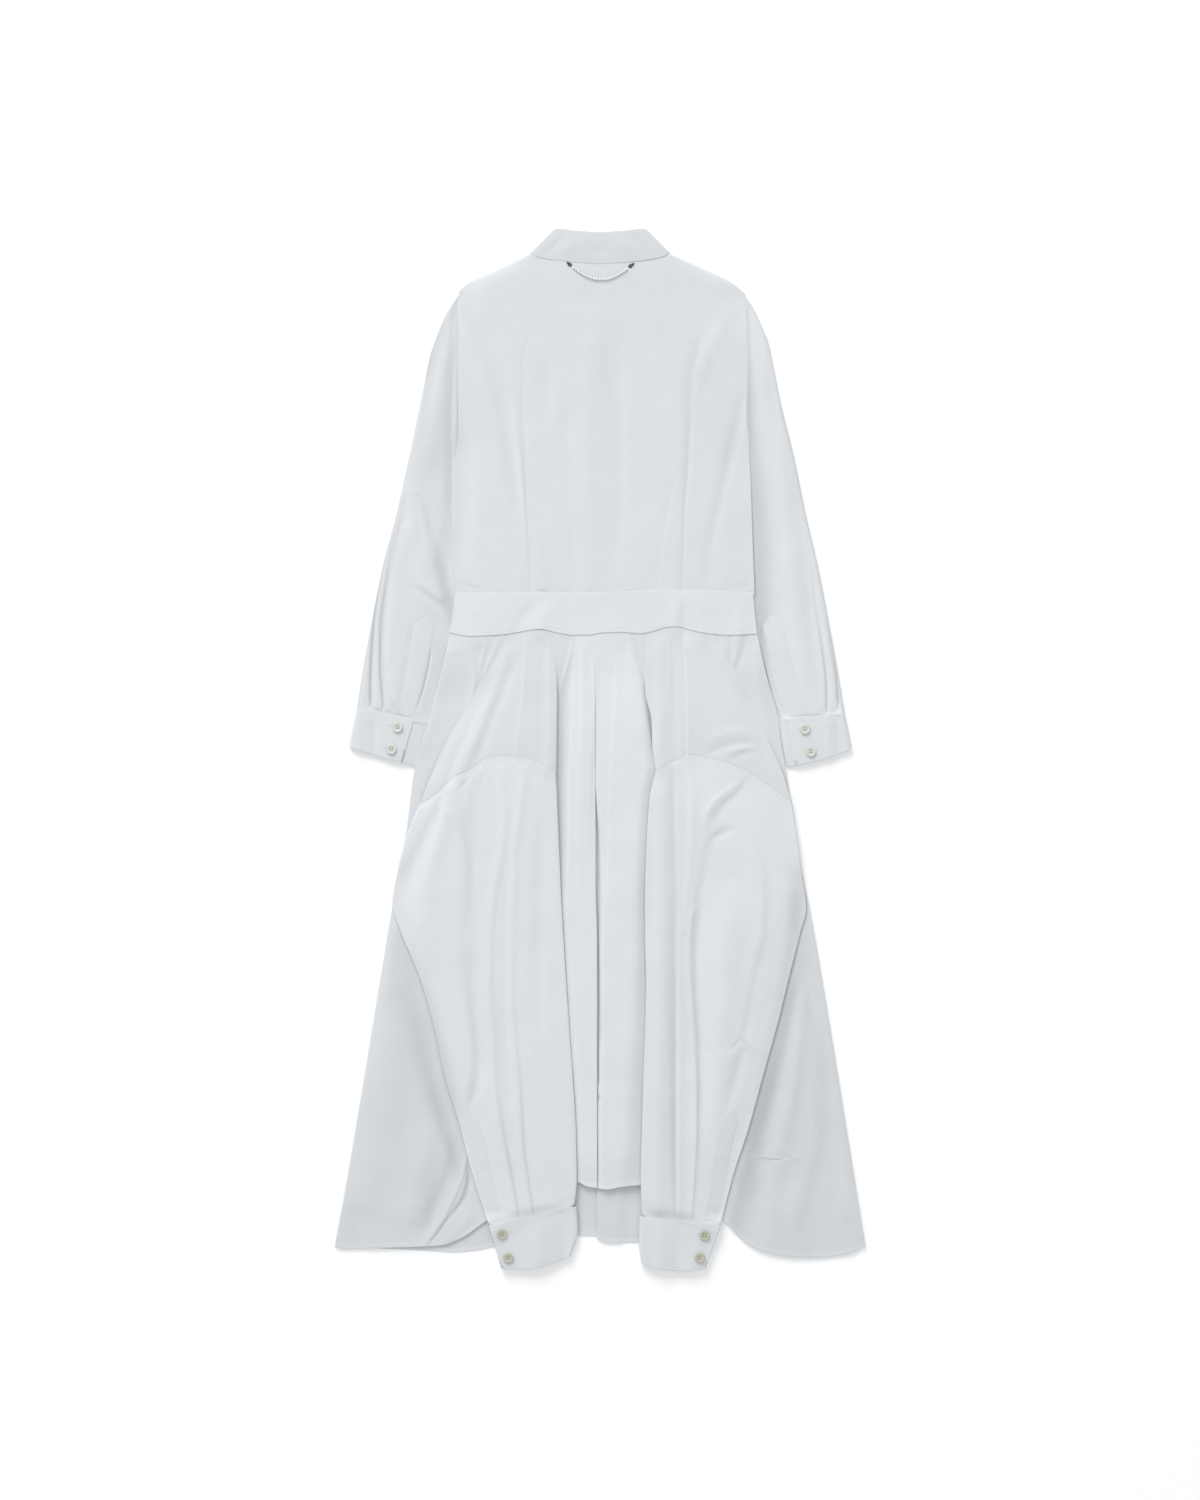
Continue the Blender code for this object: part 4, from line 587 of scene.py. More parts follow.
HUNG_LEFT_SHADES = paths("""
outer edge: -195 -190 8 0, -185 -215 8 9 -.9, -176 -250 8 11 -1.8, -164 -295 8 12 -2.2, -151 -345 8 10 -2,
 -141 -380 6 -.8;
wide shade: -122 -15 4 6 -.6, -128 -40 5 6 -.9, -132 -80 6 7 -1.1, -130 -120 6 7 -1.1, -129 -150 6 8 -1,
 -131 -210 6 7 -1.1, -130 -250 6 7 -1.2, -125 -300 5 6 -1, -130 -345 5 -1.2, -134 -360 4 -.4;
first pleat: -103 -250 3 -.3, -100 -334 4 2.2 -.7, -96 -376 4 1.6 -1.2, -89 -417 3.6 1.5 -1.5,
 -81 -466 2.4 1.2 -1.3;
second pleat: -83 -297 3.4 2 -.4, -79 -339 4 1.8 -.8, -76 -391 4 1.6 -1.2, -71 -431 3.6 1.5 -1.4,
 -66 -463 2.4 1.2 -1.2;
""")
HUNG_RIGHT_SHADES = paths("""
left of the strip: 71 -20 4 2.6 -.7, 73 -80 5 3 -1, 75 -150 6 3 -1.7, 74 -200 6 3 -1.8,
 74.5 -250 7 2.4 -2.1, 74 -350 6 2.2 -2.5, 74.5 -420 5 2 -2.3, 75 -466 4 2 -1.4;
right of the strip: 116 -65 6 7 -1.2, 114 -80 6 7 -1.4, 108 -105 5 6 -1.4, 100 -135 4 6 -1.6,
 95 -155 4 5 -1.8, 92.5 -200 2.6 4 -1.8, 93.5 -250 2.4 4 -2, 96 -300 2.4 4 -2, 97.5 -350 2.4 4 -2,
 97.5 -400 2.4 4 -1.7, 95 -440 2 3 -1.3, 93 -466 1.6 2.4 -.8;
upper crease: 148 -24 3 4 -.9, 138 -40 4 5 -1.4, 122 -56 5 6 -1.6, 116 -65 5 6 -.9;
outer soft crease: 165 -100 4 5 0, 167 -130 4 6 -.7, 166 -180 5 7 -.8, 156 -225 6 8 -.8, 148 -260 6 7 -.8,
 142 -285 5 -.5, 136 -320 6 -.7, 130 -350 5 -.3;
outer edge: 203 -116 6 -.6, 197 -150 13 -2.4, 196 -185 10 -2.2, 188 -225 9 8 -1.8, 181 -261 9 8 -1.6,
 168 -310 8 -1.2, 155 -359 6 -.7;
""")
# The left and right bands are the painted shadows of the hanging sleeves on the skirt; the rest is painted
# shade in its gaps, hollows and creases.
SKIRT_SHADES = paths("""
left band: -196 -190 8 -.4, -192 -220 10 -1.1, -189 -250 12 -1.7, -181 -290 12 -2, -173 -325 11 -2.3,
 -166 -350 10 11 -2.7, -157 -380 9 10 -2.3, -148 -405 8 9 -1.8, -144 -425 8 -.9;
right band: 206 -180 8 -.6, 200 -215 8 9 -1.6, 190 -250 7 9 -2.8, 178 -300 8 10 -3.2, 164 -350 8 13 -4.4,
 153 -390 9 16 -3.9, 147 -420 9 17 -3.2, 137 -460 9 16 -2.6, 130 -490 8 12 -1.4;
hollow beside the roll: -133 -412 1.4 2.2 -2, -133 -430 2.4 3 -4.2, -136.5 -446 2.4 3.4 -4.4,
 -142.5 -456 2 2.4 -3.4, -152 -467 1.5 1.8 -2.2, -161.5 -481 1.4 1.6 -1.6, -169 -490 1.4 1.6 -.8;
left gap: -39 85 4 -.6, -39 50 4 -1.6, -39 0 4 -2.4, -40 -50 4 -3.2, -39 -100 3 -2.6, -38 -140 2.4 -1,
 -35 -200 2 0;
roll shade: -148 -390 6 -.6, -153 -418 7 6 -1.6, -162 -440 8 6 -2, -170 -460 8 6 -2, -174 -476 7 6 -1;
outer shade: 206 -250 6 0, 221 -300 7 -.9, 222 -380 8 -1.2, 211 -430 8 -1.2, 201 -475 8 -.8;
middle right: 43 60 5 6 -1.2, 48 20 6 -.8, 50 -10 5 -.4, 45 -80 6 -.6, 44 -150 8 7 -1.3, 41 -210 9 7 -1.5,
 39 -250 9 7 -1.4, 36 -310 9 7 -1.5, 34 -350 9 7 -1.6, 30 -420 9 7 -1.8, 24 -455 12 8 -1.6;
centre: 0 95 3 2 -.5, -3 50 3 2 -1.4, -5 10 4 2.4 -1.7, -7.5 -30 4 2.6 -1.6, -8 -70 4 2.6 -1.2,
 -8 -110 4 2.6 -.4;
""")

# ---------------------------------------------------------------- small sums


def smooth(t):
    """Rises gently from 0 to 1 and stays there."""
    t = np.clip(t, 0, 1)
    return t * t * (3 - 2 * t)


def rounded(t):
    """Rises like a quarter circle, from 0 to 1."""
    t = np.clip(t, 0, 1)
    return np.sqrt(1 - (1 - t) ** 2)


def bell(t):
    """1 at 0, and close to 0 beyond 2 on either side."""
    return np.exp(-(t ** 2))


def lerp(a, b, t):
    """From a to b as t goes from 0 to 1."""
    return a + (b - a) * t


def through(keys, values, key):
    """A smooth curve through the values beside rising keys, which never swings past them."""
    keys, values = np.asarray(keys, float), np.asarray(values, float)
    rise = np.diff(values) / np.diff(keys)
    slope = np.zeros(len(keys))
    slope[0], slope[-1] = rise[0], rise[-1]
    before, after = rise[:-1], rise[1:]
    same = before * after > 0
    slope[1:-1] = np.where(same, 2 * before * after / np.where(same, before + after, 1), 0)
    key = np.clip(key, keys[0], keys[-1])
    i = np.clip(np.searchsorted(keys, key, side="right") - 1, 0, len(keys) - 2)
    step = keys[i + 1] - keys[i]
    t = (key - keys[i]) / step
    start = (1 + 2 * t) * (1 - t) ** 2 * values[i] + t * (1 - t) ** 2 * step * slope[i]
    return start + t * t * (3 - 2 * t) * values[i + 1] + t * t * (t - 1) * step * slope[i + 1]


def at(table, key):
    """The value beside a key in a two-column table."""
    rows = sorted(table)
    return through([row[0] for row in rows], [row[1] for row in rows], key)


def lengths(points):
    """How far along a path each of its points lies."""
    steps = np.sqrt((np.diff(points, axis=0) ** 2).sum(axis=1))
    return np.concatenate([[0], np.cumsum(steps)])


def running(steps):
    """How far along its row each point of a grid lies, from the steps between them."""
    return np.hstack([np.zeros((len(steps), 1)), np.cumsum(steps, axis=1)])


def middle_run(rows):
    """How far down the middle line between two edges, (x, y, x, y), each row lies."""
    return lengths((rows[:, 0:2] + rows[:, 2:4]) / 2)


def finer(path, step):
    """A smooth path through the rows of a path, with a row every few millimetres."""
    path = np.asarray(path, float)
    along = lengths(path[:, :2])
    wanted = np.linspace(0, along[-1], max(2, int(along[-1] / step) + 1))
    return np.stack([through(along, path[:, c], wanted) for c in range(path.shape[1])], 1)


# ---------------------------------------------------------------- folds and creases


PATH_STEP = 9             # millimetres between the rows of a fold's smooth path


def near_path(x, y, path, reach):
    """Which points lie near a path, and for each: its nearest segment, the share along it and how
    far to the right of it the point lies."""
    low, high = path[:, :2].min(axis=0) - reach, path[:, :2].max(axis=0) + reach
    near = (x > low[0]) & (x < high[0]) & (y > low[1]) & (y < high[1])
    start, run = path[:-1, :2], np.diff(path[:, :2], axis=0)
    long = np.hypot(run[:, 0], run[:, 1])
    off_x = x[near][None] - start[:, 0, None]
    off_y = y[near][None] - start[:, 1, None]
    share = (off_x * run[:, 0, None] + off_y * run[:, 1, None]) / long[:, None] ** 2
    share = np.clip(share, 0, 1)
    off_x = off_x - share * run[:, 0, None]
    off_y = off_y - share * run[:, 1, None]
    away = np.hypot(off_x, off_y)
    segment = np.argmin(away, axis=0)
    pick = (segment, np.arange(segment.size))
    side = off_y[pick] * run[segment, 0] - off_x[pick] * run[segment, 1]
    return near, segment, share[pick], np.copysign(away[pick], side)


def beside_paths(x, y, folds, margin):
    """For each path: which points lie near it, its row beside each, and how far to the right they lie."""
    for fold in folds:
        path = finer(fold, PATH_STEP)
        near, segment, share, side = near_path(x, y, path, 3 * path[:, 2:4].max() + margin)
        yield near, lerp(path[segment], path[segment + 1], share[:, None]), side


def relief(x, y, folds):
    """How far the folds raise each point."""
    total = np.zeros_like(x)
    for near, rows, side in beside_paths(x, y, folds, 2):
        left, right, height, gap = rows.T[2:6]
        narrow = np.minimum(left, right)
        height = height * (1 + BROAD_BOOST * smooth((narrow - 5) / 8))
        height = height / np.sqrt(1 + (height / (STEEPEST * np.sqrt(left * right))) ** 2)
        value = height * bell(side / np.where(side < 0, left, right))
        gap_at = 1.7 * narrow * np.clip((left - right) / (0.3 * narrow), -1, 1)
        value -= gap * bell((side - gap_at) / (0.75 * narrow + 0.35))
        total[near] += value
    return total


def shading(x, y, bands):
    """How much painted shade, or painted light, the cloth gets in soft bands along its creases, edges and
    hollows, whose paths hold that amount instead of a height.
    """
    total = np.zeros_like(x)
    for near, rows, side in beside_paths(x, y, bands, 0):
        left, right, amount = rows.T[2:5]
        total[near] += amount * bell(side / np.where(side < 0, left, right))
    return total


def sharpness(x, y, folds):
    """1 on a narrow fold and 0 away from all of them."""
    total = np.zeros_like(x)
    for fold in folds:
        path = finer(fold, PATH_STEP)
        narrow = path[:, 2:4].min(axis=1)
        if narrow.min() > 3.1:
            continue
        near, segment, share, side = near_path(x, y, path, 9)
        deep = np.clip((np.abs(path[:, 4]) + path[:, 5]) / 0.6, 0, 1)
        strength = deep * np.clip((3.6 - narrow) / 1.6, 0, 1)
        strength = lerp(strength[segment], strength[segment + 1], share)
        total[near] = np.maximum(total[near], strength * bell(side / 3.6))
    return total


def hills(x, y, cell_x, cell_y, seed):
    """Smooth random hills from -1 to 1, the same each run."""
    cells = 128
    field = np.random.RandomState(seed).uniform(-1, 1, (cells, cells))
    u, v = x / cell_x + 31.7, y / cell_y + 47.3
    i, j = np.floor(u).astype(int), np.floor(v).astype(int)
    s, t = smooth(u - i), smooth(v - j)
    i, j, i_next, j_next = i % cells, j % cells, (i + 1) % cells, (j + 1) % cells
    upper = lerp(field[i, j], field[i_next, j], s)
    lower = lerp(field[i, j_next], field[i_next, j_next], s)
    return lerp(upper, lower, t)


def crumple(x, y, seed):
    """The small unevenness of laid cotton, with a few fine creases."""
    soft = 0.6 * hills(x, y, 44, 86, seed) + 0.28 * hills(x, y, 19, 34, seed + 1)
    grain = 0.05 * hills(x, y, 8, 12, seed + 2)
    crease = (1 - np.abs(hills(x + 0.2 * y, y, 38, 64, seed + 3))) ** 14
    return soft + grain + 0.13 * crease * hills(x, y, 60, 60, seed + 4)


def puckers(x, y, path, reach, height, seed):
    """Short ripples square to a seam."""
    path = finer(path, 5)
    near, segment, share, side = near_path(x, y, path, 3 * reach)
    along = lengths(path[:, :2])
    place = lerp(along[segment], along[segment + 1], share)
    total = np.zeros_like(x)
    wave = hills(place, 0 * place, 4.2, 1, seed) + 0.5 * hills(place, 0 * place, 9, 1, seed + 1)
    total[near] = height * wave * bell(side / reach)
    return total


# ---------------------------------------------------------------- where the cloth lies
# Places are found from the shares down and across a piece.


def panel_place(left, right, top, low):
    """A panel between two side edges, a top edge and a bottom edge."""
    sides = (left, right)
    y_top = [at(top, at(side, max(side)[0])) for side in sides]
    y_low = [at(low, at(side, min(side)[0])) for side in sides]
    x_top = [at(side, y) for side, y in zip(sides, y_top)]
    x_low = [at(side, y) for side, y in zip(sides, y_low)]

    def place(v, a):
        edges = [at(side, lerp(y0, y1, v)) for side, y0, y1 in zip(sides, y_top, y_low)]
        y = lerp(at(top, lerp(*x_top, a)), at(low, lerp(*x_low, a)), v)
        return lerp(*edges, a), y

    return place


def tube_place(sections, mouth=None):
    """A tube pressed flat, between the ends of its sections. It may start along a curved seam."""
    rows = np.array(sections, float)
    down = middle_run(rows)
    down = down / down[-1]
    outer_right = rows[-1, 0] > rows[-1, 2]

    def place(v, a):
        a = 1 - a if outer_right else a
        ox, oy, ix, iy, curve = (through(down, rows[:, c], v) for c in range(5))
        x, y = lerp(ox, ix, a), lerp(oy, iy, a)
        if mouth:
            bow_x, bow_y = mouth(a)
            x = x + curve * (bow_x - lerp(rows[0, 0], rows[0, 2], a))
            y = y + curve * (bow_y - lerp(rows[0, 1], rows[0, 3], a))
        return x, y

    return place


def side_mouth(table, start, end, inset):
    """The line of an armhole: the shirt body's side edge, a little way in under it."""
    def mouth(a):
        y = lerp(start, end, a)
        x = at(table, y)
        return x - np.sign(x) * inset, y
    return mouth


def cap_mouth(table, start, end, inset):
    """The line of the gathered seam above a hung sleeve, a little way in under the shoulder."""
    def mouth(a):
        x = lerp(start, end, a)
        return x, at(table, x) + inset
    return mouth


SAMPLES = 361             # places tried along a panel before its grid is laid
EDGE_ROW = 1.1            # millimetres between rows at the ends of a panel
EDGE_COLUMN = 0.75        # and between columns at its sides and at narrow folds


def fine_grid(place, folds, column=2.7, row=3.0):
    """Shares down and across, closer together at the edges and where a narrow fold passes."""
    samples = np.linspace(0, 1, SAMPLES)
    line = np.stack(place(samples, np.full(SAMPLES, 0.5)), 1)
    run = lengths(line)
    ends = np.minimum(run, run[-1] - run)
    weight = 1 / row + (1 / EDGE_ROW - 1 / row) * bell(ends / 6.5)
    total = np.concatenate([[0], np.cumsum((weight[1:] + weight[:-1]) / 2 * np.diff(run))])
    downs = np.interp(np.linspace(0, total[-1], int(total[-1]) + 1), total, samples)

    v, a = np.meshgrid(downs, samples, indexing="ij")
    x, y = place(v, a)
    steps = np.hypot(np.diff(x), np.diff(y))
    run = running(steps)
    ends = np.minimum(run, run[:, -1:] - run)
    close = np.maximum(sharpness(x, y, folds), 0.8 * bell(ends / 5))
    weight = 1 / column + (1 / EDGE_COLUMN - 1 / column) * close
    total = running((weight[:, 1:] + weight[:, :-1]) / 2 * steps)
    count = int(total[:, -1].mean())
    shares = np.linspace(0, 1, count + 1)
    across = np.stack([np.interp(shares * line[-1], line, samples) for line in total])
    return np.repeat(downs[:, None], count + 1, axis=1), across


# ---------------------------------------------------------------- sheets of cloth


def unit(v):
    """Each direction with a length of 1."""
    return v / np.maximum(np.linalg.norm(v, axis=-1, keepdims=True), 1e-9)


def grid_normals(x, y, z):
    """The upward direction square to a grid's cloth at each point."""
    p = np.stack([x, y, z], -1)
    return unit(np.cross(np.gradient(p, axis=1), -np.gradient(p, axis=0)))


STITCH_LINES = {}         # the rows of stitches of each piece


def side_last(p, side):
    """A grid turned so that one of its sides is the last row."""
    p = p.swapaxes(0, 1) if side in ("left", "right") else p
    return p[::-1] if side in ("left", "top") else p


def side_back(p, side):
    """A grid turned back from side_last."""
    p = p[::-1] if side in ("left", "top") else p
    return p.swapaxes(0, 1) if side in ("left", "right") else p


def in_from(p, side):
    """How far in from one side of a grid each of its points lies."""
    steps = np.linalg.norm(np.diff(side_last(p, side), axis=0), axis=-1)[::-1]
    return side_back(running(steps.T).T[::-1], side)


def dented(p, name, side, distance, keep=slice(None)):
    """Pulls the cloth in along a row of stitches, and notes the row's points and normals."""
    away = in_from(p, side)
    n = grid_normals(*np.moveaxis(p, -1, 0))
    p = p - n * (STITCH_DENT * bell((away - distance) / 0.9))[..., None]
    grid, run, tilt = (side_last(v, side)[::-1] for v in (p, away, n))
    line = [
        [np.interp(distance, run[:, i], v[:, i, c]) for v in (grid, tilt) for c in range(3)]
        for i in range(grid.shape[1])
    ]
    STITCH_LINES.setdefault(name, []).append(np.array(line)[keep])
    return p


def turned(p, side, thick, hem, downwards=False):
    """Adds a rounded, turned-under edge along one side of a grid of cloth points."""
    grid = side_last(p, side)
    n = side_last(grid_normals(*np.moveaxis(p, -1, 0)), side)[-1]
    if downwards:
        n = np.where(n[:, 2:] < 0.6, (0, 0, 1), n)
    edge = grid[-1]
    if callable(thick):
        thick = thick(edge[:, 0], edge[:, 1])[:, None]
    out = edge - grid[-2]
    out = unit(out - n * (out * n).sum(-1, keepdims=True))
    rows = []
    for turn in (0.2, 0.4, 0.6, 0.8, 1):
        sine, cosine = math.sin(math.pi * turn), math.cos(math.pi * turn)
        rows.append(edge + out * thick / 2 * sine - n * thick / 2 * (1 - cosine))
    if downwards:
        out = unit(out * (1, 1, 0) + np.maximum(out * (0, 0, 1), 0))
    rows.append(edge - out * hem * 0.5 - n * thick)
    rows.append(edge - out * hem - n * thick * 0.95)
    return side_back(np.concatenate([grid, np.stack(rows)]), side)


def add_object(name, data, look=None):
    """A new object in the scene."""
    if look:
        data.materials.append(look)
    made = bpy.data.objects.new(name, data)
    bpy.context.collection.objects.link(made)
    return made


def add_mesh(name, points, faces, look):
    """A smooth mesh from points in millimetres and faces of any number of corners."""
    mesh = bpy.data.meshes.new(name)
    mesh.from_pydata((np.asarray(points) * MM).tolist(), [], faces)
    mesh.polygons.foreach_set("use_smooth", [True] * len(mesh.polygons))
    return add_object(name, mesh, look)


def set_tone(mesh, tone):
    """How much lighter or duller than its look each point of a mesh is."""
    shade = mesh.attributes.new("tone", "FLOAT", "POINT")
    shade.data.foreach_set("value", np.asarray(tone, np.float32).ravel())


def add_sheet(name, p, look, tone, ring=False):
    """A grid of cloth points as one mesh, with its weave's coordinates and its tone, which holds painted
    shade and painted light as well as the cloth's own tone.
    """
    rows, columns = p.shape[:2]
    index = np.arange(rows * columns).reshape(rows, columns)
    if ring:
        index = np.hstack([index, index[:, :1]])
    corners = (index[:-1, :-1], index[1:, :-1], index[1:, 1:], index[:-1, 1:])
    made = add_mesh(name, p.reshape(-1, 3), np.stack(corners, -1).reshape(-1, 4).tolist(), look)
    middle = columns // 2
    across = running(np.linalg.norm(np.diff(p, axis=1), axis=-1))
    across = across - across[:, middle:middle + 1]
    down = lengths(p[:, middle])[:, None] + 0 * across
    grain = np.stack([across, down], -1).reshape(-1, 2) * MM
    mesh = made.data
    loops = np.zeros(len(mesh.loops), int)
    mesh.loops.foreach_get("vertex_index", loops)
    layer = mesh.uv_layers.new(name="grain")
    layer.uv.foreach_set("vector", grain[loops].astype(np.float32).ravel())
    set_tone(mesh, np.zeros(rows * columns) + np.ravel(tone))
    return made


def surface(piece):
    """What can be found from above on a piece, in millimetres."""
    points = [v.co / MM for v in piece.data.vertices]
    return BVHTree.FromPolygons(points, [tuple(f.vertices) for f in piece.data.polygons])


def drop(tree, x, y):
    """The point and the direction of a surface below a place."""
    spot, normal, _, _ = tree.ray_cast(Vector((x, y, 200)), -UP)
    if spot is None:
        spot, normal, _, _ = tree.find_nearest(Vector((x, y, 8)))
    return spot, normal if normal.z > 0 else -normal


def place_piece(piece, nodes=()):
    """A piece in the shared frame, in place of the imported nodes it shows."""
    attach(piece, "root")
    if nodes:
        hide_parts(*nodes)
    return piece

# ---------------------------------------------------------------- how high the cloth lies


def inset(x, y, left, right):
    """How far a place lies in from a panel's side edges."""
    return np.minimum(x - at(left, y), at(right, y) - x)


def leaf_lift(x, y):
    """The shirt rises over the collar leaves under it."""
    return 1.5 * (1 - smooth((np.abs(x) - 93) / 55)) * smooth((y - 485) / 34)


def sewn_side(y):
    """1 along the armholes, where the side edges are sewn, and 0 below them."""
    return smooth((y - 365) / 50)


def back_base(x, y):
    """The shirt back without its folds. Its right edge stands up below the armhole."""
    seam = BACK_LEVEL + leaf_lift(x, y)
    to_left, to_right = x - at(BODICE_LEFT, y), at(BODICE_RIGHT, y) - x
    sewn = sewn_side(y)
    edge = lerp(np.where(x < 0, 0.5, 0.48), 0.92, sewn) * smooth((578 - y) / 70)
    side_share = edge + (1 - edge) * smooth(np.minimum(to_left, to_right) / 40)
    neck = 0.8 * smooth((112 - np.abs(x)) / 30)
    top_share = neck + (1 - neck) * rounded((at(SHOULDER_AND_NECK, x) - y) / 18)
    lift = lerp(0.7, 0.3, sewn) * bell(to_right / 20) * smooth((566 - y) / 30)
    lift += 0.95 * smooth((y - 560) / 40) * smooth((125 - np.abs(x)) / 50)
    return seam + (BODICE_CROWN - seam) * side_share * top_share + lift + CLOTH


def back_height(x, y):
    """The shirt back with its folds. Its lower edge goes in under the band."""
    side = inset(x, y, BODICE_LEFT, BODICE_RIGHT)
    inner = smooth(side / 12 + 0.15) * smooth((at(SHOULDER_AND_NECK, x) - y) / 16 + 0.15)
    wrinkles = relief(x, y, BACK_FOLDS) + 0.6 * crumple(x, y, 11) + puckers(x, y, WAIST_LINE, 9, 0.3, 13)
    height = back_base(x, y) + inner * wrinkles
    below_band = band_height(x, np.minimum(y, BAND_TOP)) - 0.7
    return np.minimum(height, lerp(height, below_band, smooth((200.5 - y) / 3)))


def back_edge_thickness(x, y):
    """Sewn flat at the armholes and rolled below them."""
    return lerp(0.5, SEAM_STEP - 0.15, sewn_side(y))


def pleat_edge_thickness(x, y):
    """The pleat's fold is sharper at its top."""
    return lerp(1.3, 2.6, smooth((-20 - y) / 100))


def skirt_hem_and_painted_light_and_shade(x, y):
    """Lighter at the hem, where it is doubled. The pleated middle is painted lighter, painted light, and the
    lower sides and the bands of SKIRT_SHADES duller, painted shade.
    """
    middle = smooth((x - at(MIDDLE_LEFT, y)) / 6) * smooth((at(MIDDLE_RIGHT, y) - x) / 8)
    corner = smooth((-y - 80) / 300) * smooth((np.abs(x) - 130) / 60)
    return 0.4 + 0.6 * hem_tone(BACK_HEM)(x, y) + 1.1 * middle - 0.8 * corner + shading(x, y, SKIRT_SHADES)


def band_height(x, y):
    """The waistband is fuller along its middle than at its ends."""
    side = inset(x, y, BAND_LEFT, BAND_RIGHT)
    low = BAND_TOP - y
    crown = BAND_CROWN + CLOTH - 0.9 * smooth(low / 40)
    end = np.where(x < 0, 5.0, 5.3) - 0.6 * smooth(low / 40)
    wrinkles = relief(x, y, BAND_FOLDS) + 0.4 * crumple(x, y, 23)
    return end + (crown - end) * smooth(side / 26) + wrinkles * smooth(low / 30)


def under_band(x, y, height, wrinkles, depth):
    """Draws the cloth up to a little below the waistband's lower edge."""
    low = at(BAND_LOW, x)
    near = smooth((y - low + 26) / 24)
    target = band_height(x, low) - depth + np.clip(0.6 * wrinkles, -0.9, 0.1)
    return lerp(height, target, near)


def covered(x, y):
    """1 where a hanging sleeve lies over the skirt and 0 elsewhere."""
    left = smooth((x - at(COVER_LEFT_OUTER, y)) / 8) * smooth((at(COVER_LEFT_INNER, y) - x) / 8)
    right = smooth((x - at(COVER_RIGHT_INNER, y)) / 8) * smooth((at(COVER_RIGHT_OUTER, y) - x) / 8)
    return np.maximum(left, right)


def pleated_level(y):
    """The pleated middle of the skirt springs up below the band."""
    return lerp(PLEAT_START, PLATEAU, smooth((125 - y) / 110)) * (1 - 0.4 * smooth((-500 - y) / 50))


def tucked(inside, reach):
    """How far up the pleated middle is beside a sleeve's edge, under which it goes on."""
    return 0.55 * smooth((inside + 3) / 4) + 0.45 * smooth(inside / reach)


def waist_rise(x, y):
    """The gathers stand up into the band, beside what hangs over them."""
    return PLEAT_START * smooth((y - 60) / 48) * (1 - covered(x, y))


def above_front(x, y, height):
    """No lower than the skirt front lets it lie."""
    least = 2.35 - 0.8 * bell((x + 169) / 22) * bell((y + 548) / 34)
    return least + np.sqrt(np.maximum(height - least, 0) ** 2 + 0.02)


def skirt_wrinkles(x, y, folds, seed):
    """The skirt back's folds. It lies smooth under the band and under what hangs."""
    wrinkles = relief(x, y, folds) + crumple(x, y, seed)
    return wrinkles * (1 - covered(x, y)) * lerp(0.35, 1, smooth((170 - y) / 30))


def skirt_left_height(x, y):
    """The left half lies over the right one as far as the centre pleat."""
    side = inset(x, y, SKIRT_LEFT, SKIRT_RIGHT)
    wrinkles = skirt_wrinkles(x, y, SKIRT_LEFT_FOLDS, 31)
    closed = smooth((-120 - y) / 90)
    middle = lerp(smooth((x - at(MIDDLE_LEFT, y)) / 7), tucked(x - at(COVER_LEFT_INNER, y), 8), closed)
    middle = np.maximum(pleated_level(y) * middle, waist_rise(x, y))
    height = above_front(x, y, BACK_LEVEL + CLOTH + (0.4 + wrinkles) * rounded(side / 22)) + middle
    height += 1.2 * bell(side / 12) * smooth((y + 20) / 30) * smooth((150 - y) / 30)
    return under_band(x, y, height, wrinkles, 0.95 + 0.9 * covered(x, y))


def skirt_right_height(x, y):
    """Low under the left half, then up the pleat and over its stitched edge."""
    side = inset(x, y, SKIRT_LEFT, SKIRT_RIGHT)
    spread = smooth((y + 130) / 110)
    start = lerp(-1.2, -11.5, spread) - 2.4 * smooth((-350 - y) / 90)
    opened = smooth((x - start) / lerp(2.6, 6.5, spread))
    wrinkles = skirt_wrinkles(x, y, SKIRT_RIGHT_FOLDS, 37) * opened
    step = 1.1 * smooth((x - at(PLEAT_EDGE, y)) / 1.4) * lerp(0.4, 1, smooth((150 - y) / 70))
    closed = smooth((40 - y) / 60)
    middle = smooth((at(MIDDLE_RIGHT, y) + 2.4 - x) / 5)
    middle = lerp(middle, tucked(at(COVER_RIGHT_INNER, y) - x, 13), closed)
    middle = (pleated_level(y) - 0.7 + step) * opened * middle
    low = BACK_LEVEL + CLOTH + (0.4 + wrinkles) * rounded(side / 22) * lerp(0.3, 1, opened)
    height = above_front(x, y, low) + np.maximum(middle, waist_rise(x, y) * opened)
    return under_band(x, y, height, wrinkles, 2.1 - 1.1 * opened + 0.9 * covered(x, y))


def hung_rest(x, y):
    """What hangs lies on the skirt back, and steps down past its hem."""
    return lerp(SLEEVE_LEVEL, 1.75, smooth((at(BACK_HEM, x) - 16 - y) / 26))


def shoulder_height(folds, left, right, cap, seed):
    """The outer edge lies on the skirt, and rises towards the cap seam. The inner edge stands up."""
    def height(x, y):
        side = inset(x, y, left, right)
        near_left = np.abs(x - at(left, y)) < np.abs(at(right, y) - x)
        outer = near_left == (left is HUNG_LEFT_OUTER)
        edge = np.where(outer, 0.0, 0.55)
        spread = np.where(outer, smooth(side / 48), rounded(side / 16))
        loft = 4.7 * smooth((150 - y) / 150) * (edge + (1 - edge) * spread)
        near_cap = smooth(1 - (y - at(cap, x)) / 90) * (1 - smooth(side / 46))
        loft += np.where(outer, 2.9 * near_cap, 0)
        wrinkles = relief(x, y, folds) + crumple(x, y, seed)
        spread = np.where(outer, smooth(side / 26), 1)
        pressed = lerp(SLEEVE_LEVEL + 0.6 * waist_rise(BESIDE, y), hung_rest(x, y) + CLOTH, spread)
        lie = pressed + loft + wrinkles * smooth((165 - y) / 30) * smooth(side / 8 + 0.2)
        return under_band(x, y, lie, wrinkles, 0.95)
    return height


